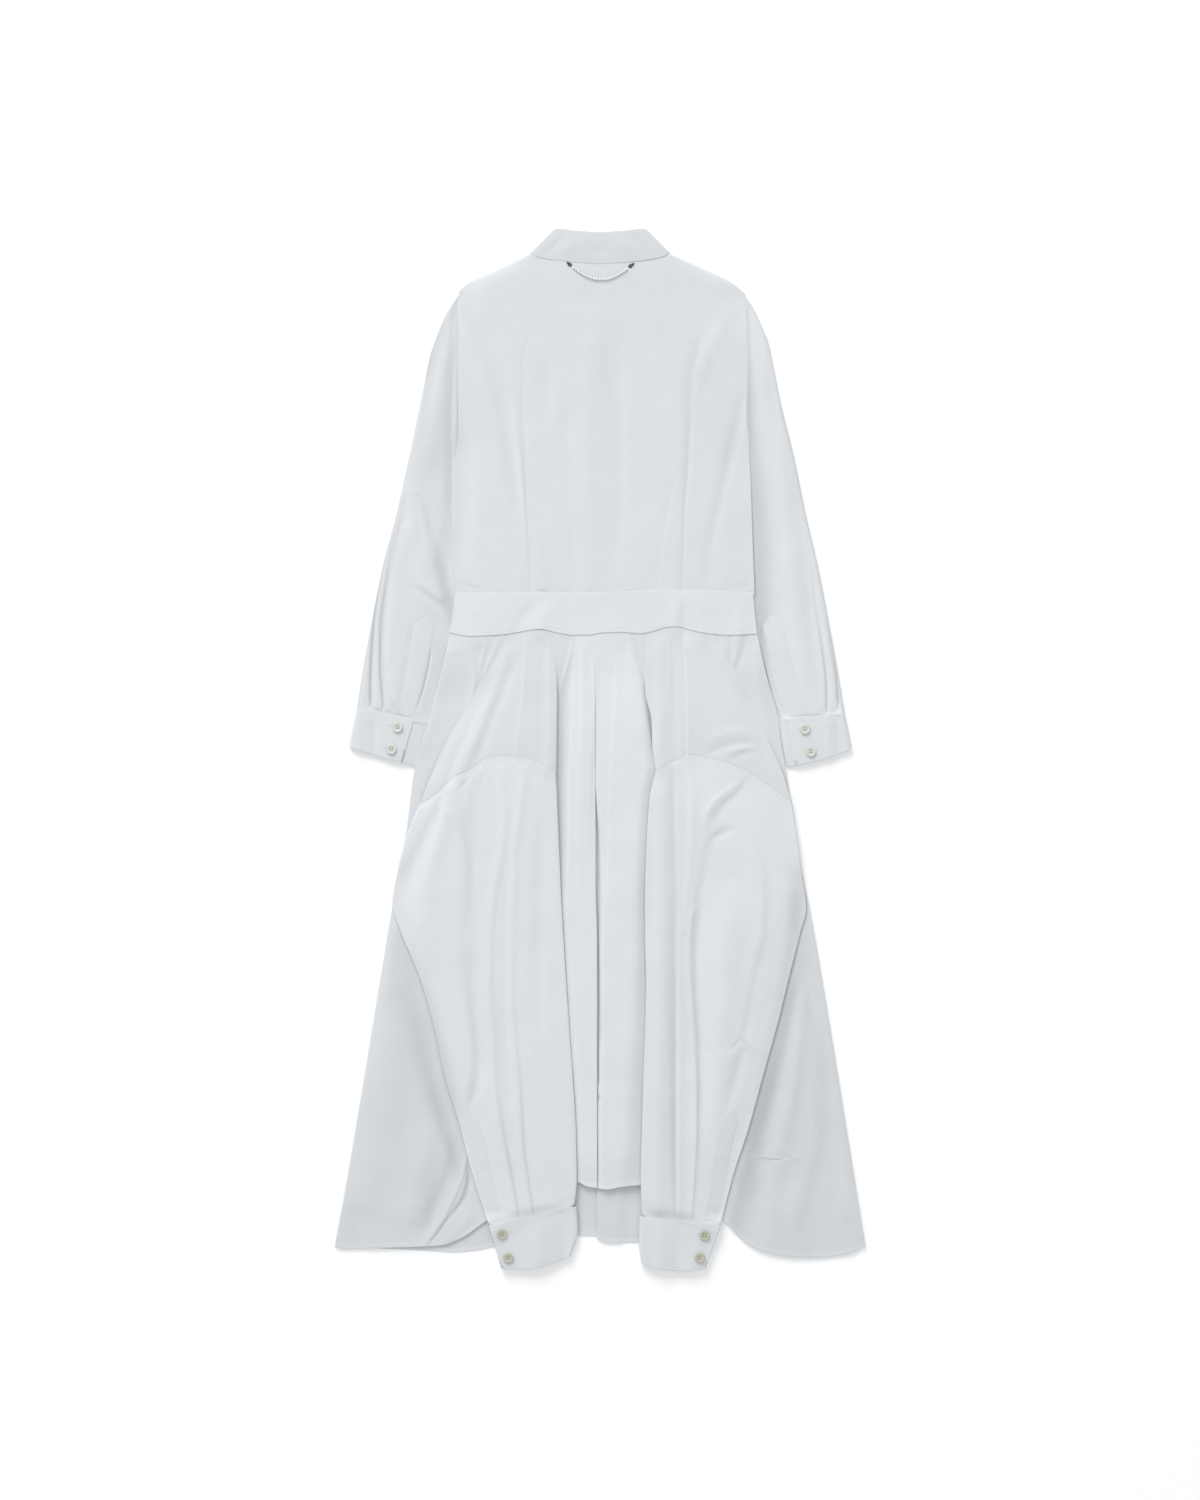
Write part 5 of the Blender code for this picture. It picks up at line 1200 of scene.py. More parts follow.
def front_height(seed, fold_share, lap=None):
    """A front panel lies on the floor. The right ones rise over the left ones up to their lap."""
    def height(x, y):
        step = 0 if lap is None else LAP_STEP * smooth((lap - x) / 6)
        folds = fold_share * relief(x, y, FRONT_FOLDS)
        return FRONT_LEVEL + leaf_lift(x, y) + step + 0.2 * crumple(x, y, seed) + folds
    return height


# ---------------------------------------------------------------- pieces of cloth


def hem_tone(low, width=7):
    """Cloth looks lighter where it is doubled at a hem."""
    def tone(x, y):
        return smooth((at(low, x) + width - y) / 1.5) - 0.7
    return tone


def flat_tone(amount):
    """The same all over."""
    def tone(x, y):
        return amount + 0 * x
    return tone


def panel(look, node, left, right, top, low, folds, height, edges, rows, tone, column=2.7, row=3.0):
    """A panel of cloth with its edges turned: edges holds the side, thickness and hem of each, and
    rows the side and distance of each row of stitches."""
    place = panel_place(left, right, top, low)
    x, y = place(*fine_grid(place, folds, column, row))
    p = np.stack([x, y, height(x, y)], -1)
    for side, distance in rows:
        p = dented(p, node, side, distance)
    for side, thick, hem in edges:
        p = turned(p, side, thick, hem, True)
    return add_sheet(node + "_cloth", p, look, tone(p[..., 0], p[..., 1]))


def lengthened(sections, more):
    """Sections that go on a little past the last."""
    rows = np.array(sections, float)
    step = rows[-1] - rows[-2]
    return np.vstack([rows, rows[-1] + step * more / math.hypot(step[0], step[1])])


def tube(look, name, sections, mouth, seat, blend, folds, ripples, rest, dip, tone, seed):
    """A sleeve pressed flat. It starts under a seam at the seat's height and ends in its cuff."""
    place = tube_place(lengthened(sections, 3), mouth)
    v, a = fine_grid(place, folds)
    x, y = place(v, a)
    run = running(np.hypot(np.diff(x), np.diff(y)))
    edge = np.minimum(run, run[:, -1:] - run)
    along = lengths(np.stack([x[:, x.shape[1] // 2], y[:, y.shape[1] // 2]], 1))[:, None]
    tail = along[-1] - along
    x, y = place(v, 0.5 + (a - 0.5) * (1 - 0.035 * (1 - smooth(tail / 7))))

    wrinkles = relief(x, y, folds) + crumple(x, y, seed)
    for k, (path, reach, height) in enumerate(ripples):
        wrinkles += puckers(x, y, path, reach, height, seed + 5 + k)
    floor = rest(x, y)
    crown = 0.35 * rounded(edge / 4) + 0.65 * smooth(edge / 50)
    top = TUBE_HEIGHT / 2 * (1 + crown) + 0.8 * smooth(edge / 60) + wrinkles * smooth(edge / 6)
    top = top * dip(x, y)
    wrist = dip(x, y) if rest is on_floor else 1
    end = (WRIST_HEIGHT - 2.4 * (1 - rounded(edge / 7))) * wrist
    top = floor + lerp(end, top, smooth((tail - 3) / 12))
    top = lerp(seat(x, y), top, smooth((along - 2) / blend))
    top = np.maximum(top, floor + TUBE_LEAST)

    shares = np.linspace(0, x.shape[1] - 1, 18).astype(int)[-2:0:-1]
    low_edge = edge[:, shares]
    bulge = lerp(TUBE_HEIGHT / 2 - UNDERSIDE, 0, rounded(low_edge / 7))
    low = floor[:, shares] + UNDERSIDE + bulge * dip(x, y)[:, shares]
    upper = np.stack([x, y, top], -1)
    lower = np.stack([x[:, shares], y[:, shares], low], -1)
    p = np.concatenate([upper, lower], axis=1)
    rim = np.concatenate([edge, low_edge], axis=1)
    # The worn sleeves' rims are painted duller: painted shade where the cloth rolls under at their edges.
    shade = tone(p[..., 0], p[..., 1]) - 1.8 * bell(rim / 2.4) * smooth((p[..., 1] + 20) / 40)
    return add_sheet(name + "_cloth", p, look, shade, ring=True)


# Painted shade: the upper left sleeve is painted duller, and soft bands along its creases duller still.
def left_sleeve_painted_shade(x, y):
    return -1.3 * smooth((y - 280) / 120) + shading(x, y, SLEEVE_LEFT_SHADES)


# Painted light and shade: the right sleeve is painted a little lighter, more so low down, and duller in soft
# bands along its creases and in the painted shadow beside the shirt body.
def right_sleeve_painted_light_and_shade(x, y):
    return 0.2 + 0.5 * smooth((320 - y) / 60) + shading(x, y, SLEEVE_RIGHT_SHADES)


# Painted light and shade: the left hanging sleeve is painted lighter all over, and duller in soft bands
# along its creases and outer edge.
def hung_left_painted_light_and_shade(x, y):
    return 0.8 + 1.35 * shading(x, y, HUNG_LEFT_SHADES)


# Painted light and shade: the right hanging sleeve is painted lighter all over, less so towards its inner
# edge, and duller in soft bands along its creases and outer edge.
def hung_right_painted_light_and_shade(x, y):
    return 1.0 - 0.75 * smooth((130 - x) / 40) + 1.2 * shading(x, y, HUNG_RIGHT_SHADES)


# Painted shade: the shirt back is painted duller towards the collar and in soft bands along its darts and
# side, with one band of painted light beside the left dart.
def back_painted_light_and_shade(x, y):
    return shading(x, y, BACK_SHADES) - 0.4 * smooth((y - 300) / 200)


def no_dip(x, y):
    """Nothing presses it flat."""
    return np.ones_like(x)


def body_dip(table, skirt, width, depth):
    """A sleeve flattens and slips under the edges of the shirt body and the skirt."""
    def dip(x, y):
        below = smooth((415 - y) / 40) * smooth((y - 120) / 60)
        return (1 - depth * below * beside(x, y, table, width)) * skirt_dip(skirt)(x, y)
    return dip


def beside(x, y, table, width):
    """1 at a side edge and inside it, and less the farther out."""
    away = (np.abs(x) - np.abs(at(table, y))).clip(0)
    return bell(away / width)


def skirt_dip(skirt):
    """How flat a sleeve or cuff lies beside the skirt's edge."""
    def dip(x, y):
        return 1 - 0.42 * smooth((165 - y) / 50) * beside(x, y, skirt, 13)
    return dip


def pressed_edge(table):
    """The outer edge of a hanging sleeve lies lower than its middle."""
    def dip(x, y):
        return 1 - 0.72 * smooth((-130 - y) / 40) * bell((x - at(table, y)) / 18)
    return dip


def on_floor(x, y):
    """It lies on the floor."""
    return np.zeros_like(x)


def body_seat(table):
    """Just under the sewn edge of the shirt back."""
    def seat(x, y):
        return back_base(at(table, y), y) - SEAM_STEP
    return seat


def under(height):
    """Just under the sewn edge of a cloth of that height."""
    def seat(x, y):
        return height(x, y) - 0.18
    return seat


def cuff(look, name, sections, slit, tuck, from_outer, rest, dip, folds, seam, seed):
    """A cuff wrapped round the flat wrist. Its buttonhole end lies on top."""
    rows = np.array(sections, float)
    down = middle_run(rows)
    v = np.linspace(0, down[-1], 30)
    ox, oy, ix, iy, bow = (through(down, rows[:, c], v)[:, None] for c in range(5))
    if not from_outer:
        ox, oy, ix, iy = ix, iy, ox, oy
    width = float(np.hypot(ix - ox, iy - oy).mean())
    under = CUFF_HEIGHT - CUFF_WALL - 0.15
    bend = np.linspace(0, math.pi, 9)[1:-1]

    def run(start, end, height, step):
        shares = np.linspace(start, end, max(3, int(abs(end - start) * width / step)))
        return [(share, 0, height) for share in shares]

    roll = CUFF_ROLL / width
    path = run(slit, 1 - roll, CUFF_HEIGHT, 1.6)
    on_top = len(path)
    path += [(1, CUFF_ROLL * (math.sin(b) - 1), CUFF_HEIGHT / 2 * (1 + math.cos(b))) for b in bend]
    path += run(1 - roll, roll, 0.2, 6)
    path += [(0, CUFF_ROLL * (1 - math.sin(b)), under / 2 * (1 - math.cos(b))) for b in bend]
    path += run(roll, tuck, under, 3)
    share, extra, height = np.array(path).T
    t = share + extra / width
    x, y = lerp(ox, ix, t), lerp(oy, iy, t) + bow * 4 * t * (1 - t)
    upper = np.arange(len(t)) < on_top
    wrinkles = (relief(x, y, folds) + 0.45 * crumple(x, y, seed)) * upper
    z = rest(x, y) + height * dip(x, y) + wrinkles * smooth((1 - t) * width / 12)
    z -= 0.45 * (1 - smooth(v[:, None] / 14)) * upper
    p = np.stack([x, y, z], -1)
    end = "left"
    if p[0, 2, 0] < p[0, 1, 0]:
        p = p[:, ::-1]
        end = "right"
    for side, distance in ((end, 5), ("low", 5.2), ("top", seam)):
        p = dented(p, name, side, distance)
    for side, thick, hem in ((end, CUFF_WALL, 4), ("low", CUFF_WALL, 18), ("top", 0.3, 6)):
        p = turned(p, side, thick, hem)
    return add_sheet(name + "_cloth", p, look, 0.2)


def placket(look, name, edges, point, sleeve_piece):
    """A pointed strip that lies on its sleeve."""
    tree = surface(sleeve_piece)
    rows = np.array(edges, float)
    down = middle_run(rows)
    count, columns = 46, 18
    shares = np.linspace(0, 1, count)
    lx, ly, rx, ry = (through(down / down[-1], rows[:, c], shares) for c in range(4))
    grid = np.zeros((count, columns, 3))
    for i, v in enumerate(shares):
        for j, u in enumerate(np.linspace(0, 1, columns)):
            x, y = lerp(lx[i], rx[i], u), lerp(ly[i], ry[i], u)
            peak = (1 - abs(2 * u - 1)) * max(0, 1 - v * 3.5)
            x += peak * (point[0] - lerp(lx[i], rx[i], 0.5))
            y += peak * (point[1] - lerp(ly[i], ry[i], 0.5))
            spot, _ = drop(tree, x, y)
            grid[i, j] = (x, y, spot.z + PLACKET_LIFT)
    for side, keep in (("left", slice(4, None)), ("right", slice(4, None)), ("top", slice(2, -2))):
        grid = dented(grid, name, side, 2.2, keep)
    across = np.array([[*grid[13, j], *UP] for j in range(2, columns - 2)])
    STITCH_LINES[name].append(across)
    for side in ("left", "right", "low", "top"):
        grid = turned(grid, side, 0.22, 1.6, True)
    return add_sheet(name + "_cloth", grid, look, 0.35)


def collar_part(look, name, sections, thick, seed):
    """A band of cloth round the flat neck, the same on both sides."""
    mirrored = [(-fx, fy, fz, -ex, ey, ez) for fx, fy, fz, ex, ey, ez in sections[-2::-1]]
    whole = np.array([*sections, *mirrored], float)
    along = lengths((whole[:, :3] + whole[:, 3:]) / 2)
    keys = np.linspace(0, along[-1], int(along[-1] / 1.7))
    fold, free = (np.stack([through(along, whole[:, c + k], keys) for k in range(3)], 1) for c in (0, 3))
    shares = np.linspace(0, 1, 24)[:, None, None]
    p = lerp(fold[None], free[None], shares)
    x, y, z = np.moveaxis(p, -1, 0)
    for extra in (
        0.25 * crumple(x, y, seed), 0.5 * np.sin(math.pi * shares[..., 0]), relief(x, y, COLLAR_FOLDS),
    ):
        z += extra * smooth((z - 4) / 3)
    for side in ("left", "right", "low"):
        p = dented(p, name, side, 5)
    for side, hem in (("left", 4), ("right", 4), ("low", 6), ("top", 4)):
        p = turned(p, side, thick, hem)
    # The collar is painted duller all over: painted shade on its raised, tilted cloth.
    return add_sheet(name + "_cloth", p, look, -1.2)


# ---------------------------------------------------------------- stitches


def capsules(name, spots, look):
    """Many short threads as one mesh. Each spot holds a middle, a direction, the direction square to
    the cloth, a length and a radius."""
    points, faces = [], []
    for middle, along, up, length, radius in spots:
        across = along.cross(up).normalized()
        up = across.cross(along).normalized()
        start = len(points)
        points.append(middle - along * length / 2 - up * radius)
        for share in (-0.3, 0.3):
            for k in range(6):
                turn = math.pi * k / 3
                off = across * math.cos(turn) + up * math.sin(turn)
                points.append(middle + along * length * share + off * radius)
        points.append(middle + along * length / 2 - up * radius)
        for k in range(6):
            n = (k + 1) % 6
            faces.append((start, start + 1 + n, start + 1 + k))
            faces.append((start + 1 + k, start + 1 + n, start + 7 + n))
            faces.append((start + 1 + k, start + 7 + n, start + 7 + k))
            faces.append((start + 13, start + 7 + k, start + 7 + n))
    return add_mesh(name, [tuple(p) for p in points], faces, look)


def row_spots(line):
    """Stitches along a row of points and normals."""
    along = lengths(line[:, :3])
    keys = np.arange(STITCH_PITCH / 2, along[-1] - STITCH_PITCH / 3, STITCH_PITCH)
    columns = [np.interp(keys, along, line[:, c]) for c in range(6)]
    before = [np.interp(keys - 1, along, line[:, c]) for c in range(3)]
    after = [np.interp(keys + 1, along, line[:, c]) for c in range(3)]
    spots = []
    for i in range(len(keys)):
        place = Vector([columns[c][i] for c in range(3)])
        normal = Vector([columns[c][i] for c in range(3, 6)]).normalized()
        run = Vector([after[c][i] - before[c][i] for c in range(3)]).normalized()
        spots.append((place + normal * STITCH_RADIUS * 0.4, run, normal, STITCH_LENGTH, STITCH_RADIUS))
    return spots


def stitch_spots(tree, path):
    """Stitches in a row along a path, on the surface below it."""
    along = lengths(path)
    keys = np.arange(STITCH_PITCH / 2, along[-1], STITCH_PITCH)
    xs, ys = np.interp(keys, along, path[:, 0]), np.interp(keys, along, path[:, 1])
    ends = [drop(tree, x, y) for x, y in zip(xs, ys)]
    spots = []
    for i, (spot, normal) in enumerate(ends):
        before, after = ends[max(i - 1, 0)][0], ends[min(i + 1, len(ends) - 1)][0]
        run = (after - before).normalized()
        spots.append((spot + normal * STITCH_RADIUS * 0.35, run, normal, STITCH_LENGTH, STITCH_RADIUS))
    return spots


def buttonhole_spots(tree, x, y, angle):
    """Two rows of close stitches square to a slit."""
    run = Vector((math.cos(angle), math.sin(angle), 0))
    square = Vector((-run.y, run.x, 0))
    spots = []
    close = 0.6
    places = [
        (i * close - HOLE_LENGTH / 2, side * 0.65, 1.3, 0.17)
        for i in range(int(HOLE_LENGTH / close)) for side in (-1, 1)
    ]
    places += [(end * HOLE_LENGTH / 2, 0, 2.4, 0.22) for end in (-1, 1)]
    for far, aside, length, radius in places:
        place = Vector((x, y, 0)) + run * far + square * aside
        spot, normal = drop(tree, place.x, place.y)
        spots.append((spot + normal * 0.02, square, normal, length, radius))
    return spots

# ---------------------------------------------------------------- buttons, pearls and rings


def lathe(profile, segments):
    """Points and faces of a closed shape turned about Z, from (radius, height) rows on the axis."""
    points = [(0, 0, profile[0][1])]
    for radius, height in profile[1:-1]:
        for k in range(segments):
            turn = 2 * math.pi * k / segments
            points.append((radius * math.cos(turn), radius * math.sin(turn), height))
    points.append((0, 0, profile[-1][1]))
    rings, last, faces = len(profile) - 2, len(points) - 1, []
    for k in range(segments):
        n = (k + 1) % segments
        faces.append((0, 1 + n, 1 + k))
        for r in range(rings - 1):
            a, b = 1 + r * segments + k, 1 + r * segments + n
            faces.append((a, b, b + segments, a + segments))
        base = 1 + (rings - 1) * segments
        faces.append((base + k, base + n, last))
    return points, faces


# Shares of the button's radius and thickness, from below round the rim to the dished middle.
BUTTON_PROFILE = (
    (0, 0), (0.55, 0), (0.8, 0.12), (0.94, 0.34), (1, 0.58), (0.985, 0.8),
    (0.92, 0.97), (0.84, 1), (0.77, 0.96), (0.69, 0.86), (0.56, 0.8), (0, BUTTON_DISH),
)
FOUR = ((-1, -1), (-1, 1), (1, -1), (1, 1))


def button_mesh(look):
    """A dished four-hole shirt button."""
    profile = [(BUTTON_DIAMETER / 2 * share, BUTTON_THICKNESS * rise) for share, rise in BUTTON_PROFILE]
    blank = add_mesh("button_blank", *lathe(profile, 56), look)
    pins = []
    for i, (sx, sy) in enumerate(FOUR):
        hole, hole_faces = lathe(((0, -2), (HOLE_RADIUS, -2), (HOLE_RADIUS, 6), (0, 6)), 20)
        hole = [(x + sx * HOLE_OFFSET, y + sy * HOLE_OFFSET, z) for x, y, z in hole]
        pins.append(add_mesh(f"button_pin_{i}", hole, hole_faces, look))
        cut = blank.modifiers.new("hole", "BOOLEAN")
        cut.operation = "DIFFERENCE"
        cut.solver = "EXACT"
        cut.object = pins[-1]
    bpy.context.view_layer.update()
    mesh = bpy.data.meshes.new_from_object(blank.evaluated_get(bpy.context.evaluated_depsgraph_get()))
    for item in [blank] + pins:
        bpy.data.objects.remove(item, do_unlink=True)
    return mesh


def middle_of(node):
    """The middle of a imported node's box, in millimetres."""
    low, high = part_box(node)
    return [(a + b) / 2 / MM for a, b in zip(low, high)]


def add_button(node, cuff_tree, mesh, thread):
    """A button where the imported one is, sewn with a cross of thread."""
    x, y, _ = middle_of(node)
    spot, normal = drop(cuff_tree, x, y)
    spot = spot + normal * BUTTON_LIFT
    turn = UP.rotation_difference(normal).to_matrix()
    copy = mesh.copy()
    for vertex in copy.vertices:
        vertex.co = turn @ vertex.co + spot * MM
    set_tone(copy, [0.0 if node.startswith("hung") else 1.0] * len(copy.vertices))
    place_piece(add_object(node + "_shell", copy), (node,))
    spots = []
    for angle in (math.pi / 4, -math.pi / 4):
        run = turn @ Vector((math.cos(angle), math.sin(angle), 0))
        for lift in (0, 0.22):
            middle = spot + normal * (BUTTON_THICKNESS * BUTTON_DISH + 0.02 + lift)
            spots.append((middle, run, normal, 3.9, 0.2))
    for sx, sy in FOUR:
        foot = spot + turn @ Vector((sx * HOLE_OFFSET, sy * HOLE_OFFSET, 0)) + normal * 0.7
        spots.append((foot, normal, turn @ Vector((1, 0, 0)), 2.2, 0.3))
    place_piece(capsules(node + "_thread", spots, thread))


def chain_path(tree):
    """The middle of the chain's thread, from ring to ring, on the shirt back."""
    rise = PEARL_RADIUS - PEARL_SINK
    return np.array([(x, y, drop(tree, x, y)[0].z + rise) for x, y in finer(CHAIN, 2.2)])


def add_thread(path, look):
    """The thread under the pearls, as a round curve."""
    curve = bpy.data.curves.new("pearl_thread", "CURVE")
    curve.dimensions = "3D"
    curve.bevel_depth = THREAD_RADIUS * MM
    curve.bevel_resolution = 2
    curve.use_fill_caps = True
    spline = curve.splines.new("POLY")
    spline.points.add(len(path) - 1)
    for point, spot in zip(spline.points, path):
        point.co = (*(spot * MM), 1)
    return add_object("pearl_thread", curve, look)


def add_pearls(path, look):
    """Round beads side by side along the thread."""
    along = lengths(path)
    keys = np.linspace(along[-1] * 0.5 / PEARLS, along[-1] * (1 - 0.5 / PEARLS), PEARLS)
    turns = [math.pi * k / 12 for k in range(13)]
    ball, ball_faces = lathe([(PEARL_RADIUS * math.sin(t), -PEARL_RADIUS * math.cos(t)) for t in turns], 20)
    points, faces = [], []
    for key in keys:
        centre = [np.interp(key, along, path[:, c]) for c in range(3)]
        start = len(points)
        points += [(x + centre[0], y + centre[1], z + centre[2]) for x, y, z in ball]
        faces += [tuple(start + i for i in face) for face in ball_faces]
    return add_mesh("pearls", points, faces, look)


def add_ring(node, look):
    """A small wire ring at the chain's end."""
    x, y, z = middle_of(node)
    around, sides, points, faces = 40, 12, [], []
    for i in range(around):
        turn = 2 * math.pi * i / around
        for k in range(sides):
            roll = 2 * math.pi * k / sides
            radius = RING_RADIUS + RING_WIRE * math.cos(roll)
            rise = RING_WIRE * math.sin(roll)
            points.append((x + radius * math.cos(turn), y + radius * math.sin(turn), z + rise))
            near, far = i * sides, (i + 1) % around * sides
            faces.append((near + k, far + k, far + (k + 1) % sides, near + (k + 1) % sides))
    return add_mesh(node + "_wire", points, faces, look)


def add_clasp(name, upper, lower, tree, look):
    """A slim catch from under the collar, through its ring, to the first pearl."""
    start, end = (drop(tree, x, y)[0] + UP * (CLASP_RADIUS + 0.1) for x, y in (upper, lower))
    along = end - start
    run = along.normalized()
    spots = (
        ((start + end) / 2, run, UP, along.length, CLASP_RADIUS),
        (start.lerp(end, 0.3), run, UP, along.length * 0.45, CLASP_BODY),
    )
    return capsules(name, spots, look)


# ---------------------------------------------------------------- materials


class Look:
    """A material whose shader is fed by other nodes."""

    def __init__(self, name, colour, roughness, **more):
        self.made = bpy.data.materials.new(name)
        self.made.use_nodes = True
        self.tree = self.made.node_tree
        self.shader = self.tree.nodes["Principled BSDF"]
        self.feed(self.shader, {"Base Color": (*colour, 1), "Roughness": roughness})
        self.feed(self.shader, {socket.replace("_", " "): value for socket, value in more.items()})

    def feed(self, node, inputs):
        """Gives each input of a node a value, or another node's output."""
        for key, value in inputs.items():
            if isinstance(value, bpy.types.NodeSocket):
                self.tree.links.new(value, node.inputs[key])
            else:
                node.inputs[key].default_value = value

    def node(self, kind, output, inputs, **settings):
        """One output of a new node."""
        made = self.tree.nodes.new("ShaderNode" + kind)
        for key, value in settings.items():
            setattr(made, key, value)
        self.feed(made, inputs)
        return made.outputs[output]

    def space(self):
        return self.node("TexCoord", "Object", {})

    def tone(self):
        return self.node("Attribute", "Fac", {}, attribute_name="tone")

    def wave(self, space, scale, direction):
        return self.node("TexWave", "Fac", {"Scale": scale, "Vector": space}, bands_direction=direction)

    def noise(self, space, scale, detail, distortion=0):
        inputs = {"Scale": scale, "Detail": detail, "Distortion": distortion, "Vector": space}
        return self.node("TexNoise", "Fac", inputs)

    def threads(self, space, scale, detail):
        """Noise drawn out along the weave."""
        return self.noise(self.node("Mapping", "Vector", {"Scale": scale, "Vector": space}), 1, detail)

    def sum(self, operation, *terms):
        return self.node("Math", 0, dict(enumerate(terms)), operation=operation)

    def scaled(self, value, factor, base):
        return self.sum("MULTIPLY_ADD", value, factor, base)

    def ramp(self, value, stops):
        """Colours between (place, colour) stops."""
        node = self.tree.nodes.new("ShaderNodeValToRGB")
        self.feed(node, {"Fac": value})
        for i, (place, colour) in enumerate(stops):
            stop = node.color_ramp.elements[i] if i < 2 else node.color_ramp.elements.new(place)
            stop.position = place
            stop.color = (*colour, 1)
        return node.outputs["Color"]

    def bump(self, height, distance, strength, after=None):
        inputs = {"Distance": distance, "Strength": strength, "Height": height}
        if after:
            inputs["Normal"] = after
        return self.node("Bump", "Normal", inputs)

    def finish(self, colour, normal, roughness=None):
        self.feed(self.shader, {"Base Color": colour, "Normal": normal})
        if roughness:
            self.feed(self.shader, {"Roughness": roughness})
        return self.made


def poplin_look():
    """Fine plain-weave cotton: even threads, slubs along the weft, and a little uneven in whiteness. Painted
    shade and painted light come in through each point's tone.
    """
    look = Look("poplin", CLOTH_COLOUR, 0.82, Sheen_Weight=0.12, Sheen_Roughness=0.4)
    grain = look.node("UVMap", "UV", {}, uv_map="grain")
    warp, weft = (look.sum("SUBTRACT", look.wave(grain, 900, way), 0.5) for way in ("X", "Y"))
    weave = look.sum("MULTIPLY", warp, weft)
    slub = look.threads(grain, (60, 1400, 1), 2)
    thin = look.threads(grain, (1600, 90, 1), 1)
    flecks = look.threads(grain, (120, 420, 1), 2)
    cloudy = look.noise(grain, 16, 3)
    shade = look.scaled(slub, 0.03, 0.345)
    # Each point's tone shifts the colour: painted shade and painted light, as well as lighter doubled hems
    # and cuffs.
    for value, factor in ((cloudy, 0.14), (flecks, 0.08), (thin, 0.03), (look.tone(), 0.1)):
        shade = look.scaled(value, factor, shade)
    dark, light = (tuple(c * f for c in CLOTH_COLOUR) for f in (0.72, 1.28))
    normal = look.bump(cloudy, 0.0006, 0.5)
    normal = look.bump(slub, 0.00004, 0.4, normal)
    normal = look.bump(weave, 0.00012, 0.45, normal)
    return look.finish(look.ramp(shade, ((0, dark), (1, light))), normal, look.scaled(cloudy, 0.16, 0.74))


def thread_look():
    """Twisted sewing thread."""
    look = Look("thread", (0.8, 0.82, 0.84), 0.55, Sheen_Weight=0.2)
    twist = look.wave(look.space(), 620, "DIAGONAL")
    colour = look.ramp(twist, ((0, (0.72, 0.74, 0.76)), (0.5, (0.84, 0.86, 0.88))))
    return look.finish(colour, look.bump(twist, 0.00008, 0.6))


def shell_look():
    """Off-white, faintly green shell with cloudy growth lines, yellower on the hanging cuffs."""
    look = Look("button_shell", (0.6, 0.6, 0.5), 0.3, Coat_Weight=0.3, Coat_Roughness=0.2)
    cloud = look.noise(look.space(), 260, 3, 1.2)
    shade = look.scaled(look.tone(), 0.55, look.sum("MULTIPLY", cloud, 0.45))
    stops = ((0.15, SHELL_DARK), (0.35, SHELL_YELLOW), (0.7, SHELL_PALE), (0.9, SHELL_LIGHT))
    colour = look.ramp(shade, stops)
    return look.finish(colour, look.bump(cloud, 0.00006, 0.3), look.scaled(cloud, 0.2, 0.2))


def pearl_look():
    """Milky beads, a little uneven."""
    look = Look("pearl", (0.82, 0.82, 0.79), 0.22, Coat_Weight=0.6, Coat_Roughness=0.1)
    cloud = look.noise(look.space(), 420, 2)
    colour = look.ramp(cloud, ((0.3, (0.74, 0.75, 0.72)), (0.7, (0.88, 0.88, 0.86))))
    return look.finish(colour, look.bump(cloud, 0.00004, 0.3), look.scaled(cloud, 0.16, 0.14))


def steel_look():
    """Darkened wire, rubbed lighter in places."""
    look = Look("dark_steel", (0.06, 0.06, 0.065), 0.35, Metallic=1.0)
    rub = look.noise(look.space(), 900, 3)
    colour = look.ramp(rub, ((0.35, (0.03, 0.03, 0.033)), (0.75, (0.16, 0.16, 0.165))))
    return look.finish(colour, look.bump(rub, 0.00003, 0.4), look.scaled(rub, 0.3, 0.22))


def floor_look():
    """A matt white surface that glows a little."""
    look = Look(
        "floor", (0.93, 0.93, 0.93), 0.95, Specular_IOR_Level=0.1,
        Emission_Color=(1, 1, 1, 1), Emission_Strength=FLOOR_GLOW,
    )
    grain = look.noise(look.space(), 300, 2)
    colour = look.ramp(grain, ((0.3, (0.925, 0.925, 0.925)), (0.7, (0.935, 0.935, 0.935))))
    return look.finish(colour, look.bump(grain, 0.0001, 0.1))


# ---------------------------------------------------------------- camera, light and floor


def add_camera():
    """Straight above the dress, with the collar at the top of the frame."""
    data = bpy.data.cameras.new("camera")
    data.lens = 85
    data.sensor_fit = "VERTICAL"
    data.sensor_height = 36
    camera = add_object("camera", data)
    camera.location = (0, 0, CAMERA_HEIGHT)
    bpy.context.scene.camera = camera


def add_studio():
    """Even light from all round, one large lamp from above the collar, and the floor."""
    scene = bpy.context.scene
    scene.view_settings.view_transform = "Standard"
    world = bpy.data.worlds.new("studio")
    world.use_nodes = True
    background = world.node_tree.nodes["Background"]
    background.inputs["Color"].default_value = (0.97, 0.985, 1.0, 1)
    background.inputs["Strength"].default_value = AMBIENT
    scene.world = world
    data = bpy.data.lights.new("key", "AREA")
    data.shape = "SQUARE"
    data.size = KEY_SIZE
    data.energy = KEY_POWER
    data.color = (1.0, 0.995, 0.985)
    key = add_object("key", data)
    key.location = KEY_SPOT
    key.rotation_euler = (Vector(KEY_TARGET) - Vector(KEY_SPOT)).to_track_quat("-Z", "Y").to_euler()
    mesh = bpy.data.meshes.new("floor")
    corners = [(x * FLOOR_HALF, y * FLOOR_HALF, FLOOR_Z) for x, y in ((-1, -1), (1, -1), (1, 1), (-1, 1))]
    mesh.from_pydata(corners, [], [(0, 1, 2, 3)])
    floor = add_object("floor", mesh, floor_look())


# ---------------------------------------------------------------- the dress


def edge_line(table, start, end, offset):
    """A path down a panel's side edge, moved sideways."""
    keys = np.linspace(start, end, 24)
    return np.stack([at(table, keys) + offset, keys], 1)


